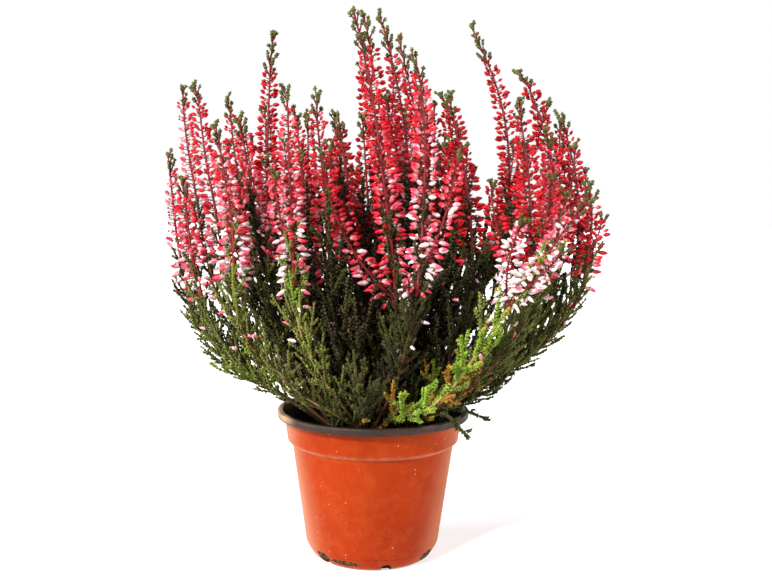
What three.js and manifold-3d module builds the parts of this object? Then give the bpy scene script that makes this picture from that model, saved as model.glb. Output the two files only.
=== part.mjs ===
// Potted heather: a grower's pot, its peat, seven rooted cuttings with leafy shoots, and the flower spike
// that ends each flowering shoot. Millimetres, +Z up, origin at the centre of the pot's underside.
import * as THREE from "three";
import { mergeVertices } from "three/addons/utils/BufferGeometryUtils.js";
import Module from "manifold-3d";

const wasm = await Module();
wasm.setup();

// ---------------------------------------------------------------- driving dimensions

const POT = {
  height: 85,
  rimRadius: 55,
  lipWidth: 3.4, // of the lip's flat top
  lipDrop: 4.1, // from the top of the lip to its underside
  lipEdge: 0.8, // chamfer along the lip's outer edges
  collarTopRadius: 50.9,
  collarFootRadius: 49.1,
  collarFootZ: 68.2,
  bodyTopRadius: 46.3,
  bodyTopZ: 65.6,
  cornerRadius: 38, // where the body meets the rounded foot
  cornerZ: 8.5,
  footEdgeRadius: 35.2, // where the foot's rounding is halfway up
  footEdgeZ: 2.5,
  footRadius: 30, // of the flat ring that stands on the table
  wall: 1.2,
  floor: 1.2,
  grooveInner: 17, // a shallow groove stiffens the underside
  grooveOuter: 27,
  grooveDepth: 2,
  grooveSlope: 1.5, // width of each of its slanting sides
  segments: 32,
};
const NOTCH = { count: 6, radius: 3, firstDeg: 14, innerReach: 29, outerReach: 40, axisZ: 1.4, sides: 7 };
const SOIL = { gap: 0.35, topZ: 63.5, mound: 3.2, roughness: 1.6, rings: [44.2, 32, 17], segments: 23 };
const HOLE = { radius: 3.3, depth: 11, sides: 7 };
const TRUNK = { radius: 2.6, topRadius: 2.2, rise: 7, overlap: 2, sides: 7, gap: 0.35 };
const STEM = {
  baseRadius: 1.5,
  endRadius: 0.8,
  sides: 4,
  lift: 0.36, // how high it climbs at first, as a share of how far out it reaches
  steepLift: 0.25, // more of it on a stem that rises further than it reaches
  lowLift: 0.5, // and on one that ends low, so that it clears the pot's lip
  straightness: 0.34, // share of its span over which it runs straight to its end
};
const TWIG = {
  length: 25,
  leafyLength: 20, // on a shoot that carries no flowers
  undersideShare: 0.65, // of that length, for a twig on the underside of its stem
  shortest: 9,
  spacing: 18.5,
  halfWidth: 2.4,
  rootDepth: 4, // of stem to either side of a twig's root that the twig widens into
  spreadDeg: 42,
  bareShare: 0.12, // of a stem, above the peat
  solidRadius: 1.4, // room kept round a twig's middle line
  shares: [1, 0.8, 0.6, 0.45], // lengths and turns tried, in this order, where something is in the way
  turnsDeg: [0, 20, -20, 38, -38],
};
const RACEME = {
  gap: 0.3,
  whorlSpacing: 6.5,
  budReach: 7.4,
  tipReach: 3.6,
  budDroop: 2.2, // how far the lower buds hang below their whorl
  axisRadius: 0.95,
  cleft: 2.1, // radius between two buds of a whorl
  leastBud: 0.6, // how far a crowded bud still stands out past the cleft
  greenTip: 14,
};
const CLEARANCE = 0.4; // least gap between solids of different nodes

const COLOUR = {
  pot: 0xc8501f,
  soil: 0x2b211a,
  leaf: 0x3f5a26,
  flower: 0xc93a50,
};

// Each cutting stands at (x, y) and grows the shoots that follow. A flowering shoot is where its flower spike
// starts, where it ends, and how far the spike bows to +X on its way. A leafy shoot is its tip and the slope,
// in degrees, at which it ends.
const CUTTINGS = [
  {
    name: "heather_centre",
    at: [0, 2],
    flowering: [
      [[6, 5, 196], [-8, 6, 311], 3],
      [[22, -13, 180], [2, -16, 305], 4],
      [[-12, 25, 176], [-22, 28, 253], 0],
      [[-6, -8, 160], [-13, -8, 262], 0],
      [[40, 8, 168], [28, 10, 255], 2],
      [[-23, -27, 160], [-32, -29, 261], 0],
      [[32, 36, 172], [12, 39, 302], 4],
    ],
    leafy: [],
  },
  {
    name: "heather_right_front",
    at: [20, -14],
    flowering: [
      [[68, -66, 150], [107, -66, 206], 0],
      [[81, -52, 160], [72, -56, 257], 3],
      [[56, -22, 170], [42, -24, 263], 3],
      [[90, -24, 158], [93, -26, 243], 3],
      [[122, -6, 158], [119, -6, 216], 4],
      [[106, 6, 172], [82, 6, 278], 7],
    ],
    leafy: [
      [[53, -50, 78], -30],
      [[70, -24, 88], -12],
      [[96, -4, 122], 34],
    ],
  },
  {
    name: "heather_front",
    at: [-2, -24],
    flowering: [
      [[22, -66, 156], [21, -68, 276], 4],
      [[12, -38, 148], [-11, -40, 303], 3],
      [[-41, -51, 156], [-45, -51, 262], 0],
    ],
    leafy: [
      [[-46, -74, 118], 48],
      [[-8, -82, 122], 52],
      [[34, -84, 108], 40],
    ],
  },
  {
    name: "heather_left_front",
    at: [-21, -12],
    flowering: [
      [[-78, -9, 158], [-99, -11, 268], 2],
      [[-68, -46, 158], [-84, -48, 244], 0],
      [[-60, -24, 168], [-73, -26, 249], 0],
      [[-92, -30, 148], [-103, -32, 226], -2],
      [[-106, 2, 148], [-117, 2, 230], -2],
    ],
    leafy: [
      [[-80, -12, 112], 40],
      [[-68, -50, 110], 42],
      [[-100, -14, 136], 55],
    ],
  },
  {
    name: "heather_left_back",
    at: [-20, 14],
    flowering: [
      [[-100, 36, 160], [-117, 40, 271], -2],
      [[-76, 26, 164], [-87, 28, 263], 0],
      [[-60, 12, 166], [-62, 13, 299], 3],
      [[-38, 4, 160], [-50, 5, 252], 0],
      [[-40, 54, 160], [-43, 57, 257], 0],
      [[-84, 68, 154], [-95, 74, 240], 0],
    ],
    leafy: [
      [[-80, 32, 112], 40],
      [[-66, 72, 108], 40],
    ],
  },
  {
    name: "heather_back",
    at: [2, 25],
    flowering: [
      [[-15, 58, 170], [-27, 61, 258], 0],
      [[16, 68, 168], [19, 73, 261], 0],
      [[-54, 84, 156], [-61, 90, 246], 0],
      [[-20, 92, 158], [-25, 98, 250], 0],
      [[14, 96, 160], [16, 102, 252], 0],
      [[46, 88, 158], [53, 94, 250], 0],
    ],
    leafy: [
      [[38, 90, 110], 40],
      [[-14, 94, 112], 42],
    ],
  },
  {
    name: "heather_right_back",
    at: [22, 14],
    flowering: [
      [[53, 52, 180], [41, 56, 270], 2],
      [[70, 22, 170], [53, 24, 306], 16],
      [[126, 28, 166], [111, 30, 256], 8],
      [[78, 70, 158], [88, 76, 243], 0],
      [[103, 48, 158], [112, 54, 238], 2],
    ],
    leafy: [
      [[108, 24, 134], 52],
      [[88, 58, 114], 42],
    ],
  },
];

// ---------------------------------------------------------------- small helpers

const rad = THREE.MathUtils.degToRad;
const vec = (x, y, z) => new THREE.Vector3(x, y, z);
const { lerp, clamp } = THREE.MathUtils;
const EAST = vec(1, 0, 0);

// A repeatable draw between 0 and 1 for a pair of counting numbers.
function draw(i, j) {
  const s = Math.sin(i * 12.9898 + j * 78.233) * 43758.5453;
  return s - Math.floor(s);
}

// A closed three.js geometry as a manifold solid.
function solidOf(geometry) {
  const bare = geometry.clone();
  bare.deleteAttribute("normal");
  bare.deleteAttribute("uv");
  const merged = mergeVertices(bare, 1e-4);
  return new wasm.Manifold(
    new wasm.Mesh({
      numProp: 3,
      vertProperties: new Float32Array(merged.attributes.position.array),
      triVerts: new Uint32Array(merged.index.array),
    }),
  );
}

// A manifold solid as a three.js geometry.
function geometryOf(solid) {
  const mesh = solid.getMesh();
  const positions = new Float32Array(mesh.numVert * 3);
  for (let i = 0; i < mesh.numVert; i++) {
    const at = i * mesh.numProp;
    positions.set(mesh.vertProperties.subarray(at, at + 3), i * 3);
  }
  const geometry = new THREE.BufferGeometry();
  geometry.setAttribute("position", new THREE.BufferAttribute(positions, 3));
  geometry.setIndex(new THREE.BufferAttribute(new Uint32Array(mesh.triVerts), 1));
  return geometry;
}

// A profile of [radius, z] pairs turned round +Z.
function turned(profile, segments) {
  const points = profile.map(([r, z]) => new THREE.Vector2(r, z));
  return new THREE.LatheGeometry(points, segments).rotateX(Math.PI / 2);
}

// A closed skin over rings of equal length, listed along the piece and each turning the same way. The first
// ring is closed flat and the last one runs to a point. crossesFrom(i, k) says on which four-cornered patches
// the fold runs from corner k of ring i + 1 back to corner k + 1 of ring i.
function skinOver(rings, tip, crossesFrom = () => false) {
  const n = rings[0].length;
  const vertices = [...rings.flat(), tip];
  const faces = [];
  for (let k = 1; k + 1 < n; k++) faces.push(0, k + 1, k);
  for (let i = 0; i + 1 < rings.length; i++)
    for (let k = 0; k < n; k++) {
      const a = i * n + k;
      const b = i * n + ((k + 1) % n);
      if (crossesFrom(i, k)) faces.push(a, b, a + n, b, b + n, a + n);
      else faces.push(a, b, b + n, a, b + n, a + n);
    }
  const last = (rings.length - 1) * n;
  for (let k = 0; k < n; k++) faces.push(last + k, last + ((k + 1) % n), vertices.length - 1);
  const geometry = new THREE.BufferGeometry().setFromPoints(vertices);
  geometry.setIndex(faces);
  return geometry;
}

// A ring of points round a centre, square to a direction, counted from the side given. radiusOf gives each
// point's own radius.
function ringAt(centre, direction, sideways, count, radiusOf) {
  const side = sideways.clone().addScaledVector(direction, -sideways.dot(direction)).normalize();
  const up = direction.clone().cross(side);
  return Array.from({ length: count }, (_, k) => {
    const angle = (2 * Math.PI * k) / count;
    return centre
      .clone()
      .addScaledVector(side, Math.cos(angle) * radiusOf(k))
      .addScaledVector(up, Math.sin(angle) * radiusOf(k));
  });
}

// ---------------------------------------------------------------- pot and peat

function makePot() {
  const p = POT;
  const lipFoot = p.height - p.lipDrop;
  const innerFloor = p.grooveDepth + p.floor;
  const profile = [
    [0, 0],
    [p.grooveInner, 0],
    [p.grooveInner + p.grooveSlope, p.grooveDepth],
    [p.grooveOuter - p.grooveSlope, p.grooveDepth],
    [p.grooveOuter, 0],
    [p.footRadius, 0],
    [p.footEdgeRadius, p.footEdgeZ],
    [p.cornerRadius, p.cornerZ],
    [p.bodyTopRadius, p.bodyTopZ],
    [p.collarFootRadius, p.collarFootZ],
    [p.collarTopRadius, lipFoot],
    [p.rimRadius - p.lipEdge, lipFoot],
    [p.rimRadius, lipFoot + p.lipEdge],
    [p.rimRadius, p.height - p.lipEdge],
    [p.rimRadius - p.lipEdge, p.height],
    [p.rimRadius - p.lipWidth, p.height],
    [p.collarFootRadius - p.wall, p.collarFootZ + p.wall / 2],
    [p.bodyTopRadius - p.wall, p.bodyTopZ],
    [p.cornerRadius - p.wall, p.cornerZ + p.wall / 4],
    [p.footRadius - p.wall / 3, innerFloor],
    [0, innerFloor],
  ];
  let pot = solidOf(turned(profile, p.segments));
  for (let i = 0; i < NOTCH.count; i++) {
    const azimuth = rad(-90 + NOTCH.firstDeg + (360 / NOTCH.count) * i);
    const middle = (NOTCH.innerReach + NOTCH.outerReach) / 2;
    const length = NOTCH.outerReach - NOTCH.innerReach;
    const cutter = new THREE.CylinderGeometry(NOTCH.radius, NOTCH.radius, length, NOTCH.sides);
    cutter.rotateZ(Math.PI / 2 + azimuth);
    cutter.translate(Math.cos(azimuth) * middle, Math.sin(azimuth) * middle, NOTCH.axisZ);
    pot = pot.subtract(solidOf(cutter));
  }
  return pot;
}

// Height of the peat's surface: a low mound with small lumps.
function peatTop(x, y) {
  const r = Math.hypot(x, y) / SOIL.rings[0];
  const lump = draw(Math.round(x * 3), Math.round(y * 3)) - 0.5;
  return SOIL.topZ + SOIL.mound * (1 - r * r) + SOIL.roughness * lump;
}

function makeSoil() {
  const p = POT;
  const g = SOIL.gap;
  const innerFloor = p.grooveDepth + p.floor;
  const profile = [
    [0, innerFloor + g],
    [p.footRadius - p.wall / 3 - g, innerFloor + g],
    [p.cornerRadius - p.wall - g, p.cornerZ + p.wall / 4 + g],
    ...SOIL.rings.map((r) => [r, SOIL.topZ]),
    [0, SOIL.topZ],
  ];
  const geometry = turned(profile, SOIL.segments);
  const at = geometry.attributes.position;
  for (let i = 0; i < at.count; i++)
    if (at.getZ(i) > SOIL.topZ - 0.1) {
      const onEdge = Math.hypot(at.getX(i), at.getY(i)) > SOIL.rings[0] - 1;
      at.setZ(i, onEdge ? SOIL.topZ : peatTop(at.getX(i), at.getY(i)));
    }
  let soil = solidOf(geometry);
  for (const cutting of CUTTINGS) {
    const hole = new THREE.CylinderGeometry(HOLE.radius, HOLE.radius, HOLE.depth * 2, HOLE.sides);
    hole.rotateX(Math.PI / 2).translate(...cutting.at, SOIL.topZ + SOIL.mound);
    soil = soil.subtract(solidOf(hole));
  }
  return soil;
}

// ---------------------------------------------------------------- shoots

// Where a cutting's stems part: just above the peat.
function crownOf(cutting) {
  return vec(...cutting.at, SOIL.topZ + SOIL.mound + TRUNK.rise);
}

// A flower spike's centre line, from its first whorl to its tip.
function racemeLine([start, end, bow]) {
  const a = vec(...start);
  const b = vec(...end);
  const middle = a.clone().add(b).multiplyScalar(0.5);
  middle.x += 2 * bow;
  return new THREE.QuadraticBezierCurve3(a, middle, b);
}

// A stem's centre line: out of the crown at a slant, then turning up to meet its end.
function stemLine(crown, end, endDirection) {
  const out = vec(end.x - crown.x, end.y - crown.y, 0);
  const reach = out.length();
  const rise = end.z - crown.z;
  const steep = STEM.steepLift * Math.max(0, rise - reach);
  const low = STEM.lowLift * Math.max(0, reach / 2 - rise);
  const climb = STEM.lift * reach + steep + low;
  const first = crown.clone().addScaledVector(out, 0.5).add(vec(0, 0, climb));
  const last = end.clone().addScaledVector(endDirection, -STEM.straightness * Math.hypot(reach, rise));
  return new THREE.CubicBezierCurve3(crown, first, last, end);
}

// The radius of a stem at a share of its length.
const stemRadius = (t) => lerp(STEM.baseRadius, STEM.endRadius, t);

function shootsOf(cutting) {
  const crown = crownOf(cutting);
  const flowering = cutting.flowering.map((numbers) => {
    const raceme = racemeLine(numbers);
    return { raceme, stem: stemLine(crown, raceme.getPoint(0), raceme.getTangent(0)) };
  });
  const leafy = cutting.leafy.map(([tip, slopeDeg]) => {
    const end = vec(...tip);
    const outward = vec(end.x - crown.x, end.y - crown.y, 0).normalize();
    const direction = outward.multiplyScalar(Math.cos(rad(slopeDeg)));
    direction.z = Math.sin(rad(slopeDeg));
    return { raceme: null, stem: stemLine(crown, end, direction) };
  });
  return [...flowering, ...leafy];
}

const PLANTS = CUTTINGS.map((cutting) => ({
  name: cutting.name,
  at: cutting.at,
  crown: crownOf(cutting),
  shoots: shootsOf(cutting),
}));

// ---------------------------------------------------------------- keeping nodes apart

// Distance between two straight stretches.
function stretchGap(a0, a1, b0, b1) {
  const u = a1.clone().sub(a0);
  const v = b1.clone().sub(b0);
  const w = a0.clone().sub(b0);
  const a = u.dot(u);
  const b = u.dot(v);
  const c = v.dot(v);
  const d = u.dot(w);
  const e = v.dot(w);
  const slack = a * c - b * b;
  let s = slack > 1e-9 ? clamp((b * e - c * d) / slack, 0, 1) : 0;
  const t = clamp((b * s + e) / c, 0, 1);
  s = clamp((b * t - d) / a, 0, 1);
  return w.addScaledVector(u, s).addScaledVector(v, -t).length();
}

// Every stretch already taken, as { owner, a, b, radius, isRaceme }.
const taken = [];

function takeLine(owner, curve, from, steps, radiusAt, isRaceme) {
  for (let i = 0; i < steps; i++) {
    const t0 = lerp(from, 1, i / steps);
    const t1 = lerp(from, 1, (i + 1) / steps);
    const radius = radiusAt((t0 + t1) / 2);
    taken.push({ owner, a: curve.getPoint(t0), b: curve.getPoint(t1), radius, isRaceme });
  }
}

function isClear(owner, a, b, radius) {
  return taken.every((other) => {
    if (other.owner === owner) return true;
    return stretchGap(a, b, other.a, other.b) > radius + other.radius + CLEARANCE;
  });
}

// The pot's lip and the peat are in the way too.
function missesPot(points, radius) {
  return points.every((p) => {
    const r = Math.hypot(p.x, p.y);
    const overRim = p.z > POT.height + radius + CLEARANCE;
    const outside = r > POT.rimRadius + radius + CLEARANCE;
    const inside = r < POT.bodyTopRadius - radius && p.z > SOIL.topZ + SOIL.mound + radius;
    return overRim || outside || inside;
  });
}

// ---------------------------------------------------------------- flower spikes

// How far the buds of a spike may reach at a place: full reach, or less beside another spike or stem.
function budReachAt(owner, centre, wanted) {
  let reach = wanted;
  for (const other of taken) {
    if (other.owner === owner) continue;
    const gap = stretchGap(centre, centre.clone().add(vec(0, 0, 0.5)), other.a, other.b);
    const share = other.isRaceme ? (gap - CLEARANCE) / 2 : gap - other.radius - CLEARANCE;
    reach = Math.min(reach, share);
  }
  return Math.max(reach, RACEME.cleft + RACEME.leastBud);
}

// A spike: three buds to a whorl, each whorl's buds standing over the gaps of the one below.
function makeRaceme(name, curve, seed) {
  const r = RACEME;
  const length = curve.getLength();
  const flowered = length - r.greenTip;
  const whorls = Math.round(flowered / r.whorlSpacing);
  const ring = (t, radiusOf) => ringAt(curve.getPointAt(t), curve.getTangentAt(t), EAST, 6, radiusOf);
  const rings = [ring(r.gap / length, () => r.axisRadius)];
  for (let i = 0; i < whorls; i++) {
    const along = (i + 0.8) / whorls;
    const t = (along * flowered) / length;
    const wanted = lerp(r.budReach, r.tipReach, along ** 1.6) * lerp(0.86, 1.14, draw(seed, i));
    const reach = budReachAt(name, curve.getPointAt(t), wanted);
    const cleft = Math.min(r.cleft, 0.45 * reach);
    const whorl = ring(t, (k) => (k % 2 === i % 2 ? reach : cleft));
    whorl.forEach((point, k) => {
      if (k % 2 === i % 2) point.z += lerp(-r.budDroop, r.budDroop, along);
    });
    rings.push(whorl);
  }
  rings.push(ring(1 - (0.75 * r.greenTip) / length, () => r.axisRadius));
  rings.push(ring(1 - (0.5 * r.greenTip) / length, (k) => (k % 2 ? 2 : 1)));
  const betweenBuds = (i, k) => i > 0 && i < whorls && k % 2 === (i + 1) % 2;
  return solidOf(skinOver(rings, curve.getPointAt(1), betweenBuds));
}

// ---------------------------------------------------------------- stems and twigs

// The tip of a leafy side twig that leaves a stem at a place, or null where even a short one would meet
// something. It turns a little or shortens first.
function twigTip(owner, root, along, across, full) {
  for (const share of TWIG.shares)
    for (const turn of TWIG.turnsDeg) {
      const outward = across.clone().applyAxisAngle(along, rad(turn));
      const length = Math.max(full * share, TWIG.shortest);
      const tip = root
        .clone()
        .addScaledVector(along, length * Math.cos(rad(TWIG.spreadDeg)))
        .addScaledVector(outward, length * Math.sin(rad(TWIG.spreadDeg)));
      const start = root.clone().lerp(tip, 0.2);
      const inside = [0, 0.25, 0.5, 0.75, 1].map((share) => root.clone().lerp(tip, share));
      if (isClear(owner, start, tip, TWIG.solidRadius) && missesPot(inside, TWIG.halfWidth)) return tip;
    }
  return null;
}

// One leafy stem as a single skin. On every third ring two opposite points are drawn out into twigs, between
// two plain rings that keep the twigs slim, and each pair of twigs stands square to the pair before.
function makeShoot(owner, shoot, seed) {
  const curve = shoot.stem;
  const length = curve.getLength();
  const last = curve.getPointAt(1);
  const sideways = vec(curve.v0.y - last.y, last.x - curve.v0.x, 0).normalize();
  const ring = (t, radiusOf) =>
    ringAt(curve.getPointAt(t), curve.getTangentAt(t), sideways, STEM.sides, radiusOf);
  const plainRing = (t) => ring(t, () => stemRadius(t));
  const usual = shoot.raceme ? TWIG.length : TWIG.leafyLength;
  const leafyLength = length * (1 - TWIG.bareShare) - TWIG.rootDepth;
  const pairs = Math.round(leafyLength / TWIG.spacing);
  const rings = [plainRing(0)];
  for (let i = 0; i < pairs; i++) {
    const t = TWIG.bareShare + ((i + 0.5) * leafyLength) / pairs / length;
    const root = curve.getPointAt(t);
    const along = curve.getTangentAt(t);
    const drawnOut = (k) => k % 2 === i % 2;
    const twigged = ring(t, (k) => (drawnOut(k) ? stemRadius(t) : TWIG.halfWidth));
    twigged.forEach((point, k) => {
      if (!drawnOut(k)) return;
      const across = point.clone().sub(root).normalize();
      const exposure = across.z < -0.3 ? TWIG.undersideShare : 1;
      const full = usual * exposure * lerp(0.8, 1.2, draw(seed, i * 4 + k)) * lerp(1, 0.7, t);
      const tip = twigTip(owner, root, along, across, full);
      if (!tip) return;
      point.copy(tip);
      taken.push({ owner, a: root, b: tip, radius: TWIG.solidRadius, isRaceme: false });
    });
    rings.push(plainRing(t - TWIG.rootDepth / length), twigged, plainRing(t + TWIG.rootDepth / length));
  }
  rings.push(plainRing(1));
  return solidOf(skinOver(rings, last.clone().addScaledVector(curve.getTangentAt(1), 0.05)));
}

function makePlant(plant) {
  const bottom = SOIL.topZ + SOIL.mound - HOLE.depth + TRUNK.gap;
  const height = plant.crown.z + TRUNK.overlap - bottom;
  const trunk = new THREE.CylinderGeometry(TRUNK.topRadius, TRUNK.radius, height, TRUNK.sides);
  trunk.rotateX(Math.PI / 2).translate(...plant.at, bottom + height / 2);
  const shoots = plant.shoots.map((shoot, i) => makeShoot(`${plant.name}/${i}`, shoot, i));
  const whole = shoots.reduce((joined, shoot) => joined.add(shoot), solidOf(trunk));
  const bodies = whole.decompose();
  return bodies.reduce((largest, body) => (body.volume() > largest.volume() ? body : largest));
}

// ---------------------------------------------------------------- assembly

const group = new THREE.Group();

function addNode(name, solid, colour, roughness) {
  const material = new THREE.MeshStandardMaterial({ color: colour, roughness, metalness: 0 });
  const mesh = new THREE.Mesh(geometryOf(solid), material);
  mesh.name = name;
  group.add(mesh);
}

// Spikes and stems take their room first, then twigs fill what is left. A shoot keeps clear of its plant's
// other shoots too, past the crown where they all join.
const CROWN_SHARE = 0.1;
const racemes = [];
for (const plant of PLANTS)
  plant.shoots.forEach((shoot, i) => {
    takeLine(`${plant.name}/${i}`, shoot.stem, CROWN_SHARE, 9, stemRadius, false);
    if (!shoot.raceme) return;
    const number = String(racemes.length + 1).padStart(2, "0");
    racemes.push({ name: `raceme_${number}`, curve: shoot.raceme });
  });
for (const { name, curve } of racemes) takeLine(name, curve, 0, 8, () => RACEME.axisRadius, true);

addNode("pot", makePot(), COLOUR.pot, 0.45);
addNode("soil", makeSoil(), COLOUR.soil, 0.95);
racemes.forEach(({ name, curve }, i) => addNode(name, makeRaceme(name, curve, i + 1), COLOUR.flower, 0.6));
for (const stretch of taken) if (stretch.isRaceme) stretch.radius = RACEME.budReach;
for (const plant of PLANTS) addNode(plant.name, makePlant(plant), COLOUR.leaf, 0.7);

export default group;
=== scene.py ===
"""Potted heather: the look of every piece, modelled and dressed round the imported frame.

The plant is seven rooted cuttings of ling in a thin two-tone grower's pot. Lengths are in millimetres until
a mesh is made. Most stems and flower spikes follow the lines of the frame's solids. Nine spikes and six
leafy shoots stand up to about 12 mm aside, and two leafy shoots have no solid.
"""

from __future__ import annotations

import logging
import math
from dataclasses import dataclass
from enum import Enum, IntEnum

import bpy
import numpy as np
from mathutils import Matrix, Vector, noise


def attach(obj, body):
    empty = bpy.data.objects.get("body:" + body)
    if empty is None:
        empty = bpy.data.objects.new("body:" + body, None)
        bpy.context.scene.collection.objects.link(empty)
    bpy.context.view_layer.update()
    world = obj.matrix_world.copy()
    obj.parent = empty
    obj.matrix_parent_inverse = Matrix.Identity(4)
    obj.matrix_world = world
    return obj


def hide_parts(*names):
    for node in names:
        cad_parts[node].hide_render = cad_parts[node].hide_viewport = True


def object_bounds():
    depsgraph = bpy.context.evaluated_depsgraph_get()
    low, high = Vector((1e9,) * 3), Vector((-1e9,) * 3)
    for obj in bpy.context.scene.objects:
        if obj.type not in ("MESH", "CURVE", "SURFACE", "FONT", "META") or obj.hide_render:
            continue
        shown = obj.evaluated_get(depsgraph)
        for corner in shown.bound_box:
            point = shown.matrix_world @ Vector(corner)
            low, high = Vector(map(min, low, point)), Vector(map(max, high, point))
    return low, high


LOG = logging.getLogger("potted_heather")
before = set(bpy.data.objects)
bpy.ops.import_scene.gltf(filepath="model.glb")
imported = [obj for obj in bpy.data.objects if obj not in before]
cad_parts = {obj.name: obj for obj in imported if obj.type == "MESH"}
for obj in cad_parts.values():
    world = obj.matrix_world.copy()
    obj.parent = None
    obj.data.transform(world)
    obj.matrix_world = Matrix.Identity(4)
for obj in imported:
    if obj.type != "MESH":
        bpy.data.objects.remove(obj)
CAD_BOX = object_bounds()

MM = 0.001
UP = np.array((0.0, 0.0, 1.0))
EAST = np.array((1.0, 0.0, 0.0))
NORTH = np.array((0.0, 1.0, 0.0))
GOLDEN_ANGLE = math.radians(137.508)
GROWTH_MAP = "OFBake"  # the plant's own UV map: across is a growth's tint, up is how far along it a place is

Array = np.ndarray
Box = tuple[np.ndarray, np.ndarray]
Point = tuple[float, float, float]
Colour = tuple[float, float, float]
Stops = tuple[tuple[float, Colour], ...]  # the places and colours of a ramp


# ---- named choices


class Part(IntEnum):
    """The parts of a growth, in the order of a plant piece's material slots."""

    WOOD = 0
    LEAF = 1
    PETAL = 2


class LeafTint(Enum):
    """How green a shoot's leaves are, as a place on the leaf colours."""

    # near black: painted shade for the shoots inside the plant
    SHADED = 0.08
    OLIVE = 0.2
    DARK = 0.32
    GREEN = 0.46
    BRIGHT = 0.6
    LIME = 0.78
    DRY = 0.97


class BudTint(Enum):
    """How red a spike's buds are, as a place on the petal colours."""

    WHITE = 0.14
    BLUSH = 0.42
    ROSE = 0.58
    RED = 0.74
    CRIMSON = 0.88


class WoodTint(Enum):
    """The colour of a stem's bark, as a place on the bark colours."""

    GREY = 0.1
    BROWN = 0.32
    ORANGE = 0.52
    RUSSET = 0.68
    RED = 0.8
    DARK_RED = 0.93


class Seed(IntEnum):
    """What is added to a number to seed each kind of random draw."""

    CUTTING = 100
    RACEME = 200
    BRACTS = 500
    TIP = 1000


# The stretch of the growth map's width that each part keeps for itself.
BANDS = {Part.WOOD: (0.02, 0.2), Part.LEAF: (0.24, 0.6), Part.PETAL: (0.64, 0.98)}


# ---- the plant's plan


@dataclass(frozen=True)
class Spike:
    """A flowering shoot, given by its flower spike.

    The spike runs from start to end and bows to +X by bow on its way. Beside it run its side spikes.
    Where facing is given, the first leaves at the foot and leans out that many degrees round from +X.
    A stout one has long leaves that stand well out.
    """

    start: Point
    end: Point
    bow: float = 0.0
    buds: BudTint = BudTint.RED
    leaves: LeafTint = LeafTint.DARK
    wood: WoodTint = WoodTint.BROWN
    sides: int = 1
    facing: float | None = None
    stout: bool = False


@dataclass(frozen=True)
class Spray:
    """A leafy shoot without flowers, given by its tip and the slope in degrees at which it ends.

    A stout one has long leaves that stand well out.
    """

    tip: Point
    slope: float
    leaves: LeafTint = LeafTint.DARK
    wood: WoodTint = WoodTint.BROWN
    stout: bool = False


@dataclass(frozen=True)
class Cutting:
    """One rooted cutting: where it stands on the peat and the shoots that it grows."""

    name: str
    at: tuple[float, float]
    spikes: tuple[Spike, ...]
    sprays: tuple[Spray, ...] = ()
    basal_shoots: int = 14
    core_shoots: int = 9
    bare_foot: float = 0.14  # the share of each stem, from its foot, that has no side shoots
    slim: bool = False  # whether its twigs are slim and close together


# Short names for the table of cuttings.
WHITE, BLUSH, ROSE, RED, CRIMSON = BudTint
SHADED, OLIVE, DARK, GREEN, BRIGHT, LIME = tuple(LeafTint)[:6]
ORANGE, RUSSET = WoodTint.ORANGE, WoodTint.RUSSET

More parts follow.
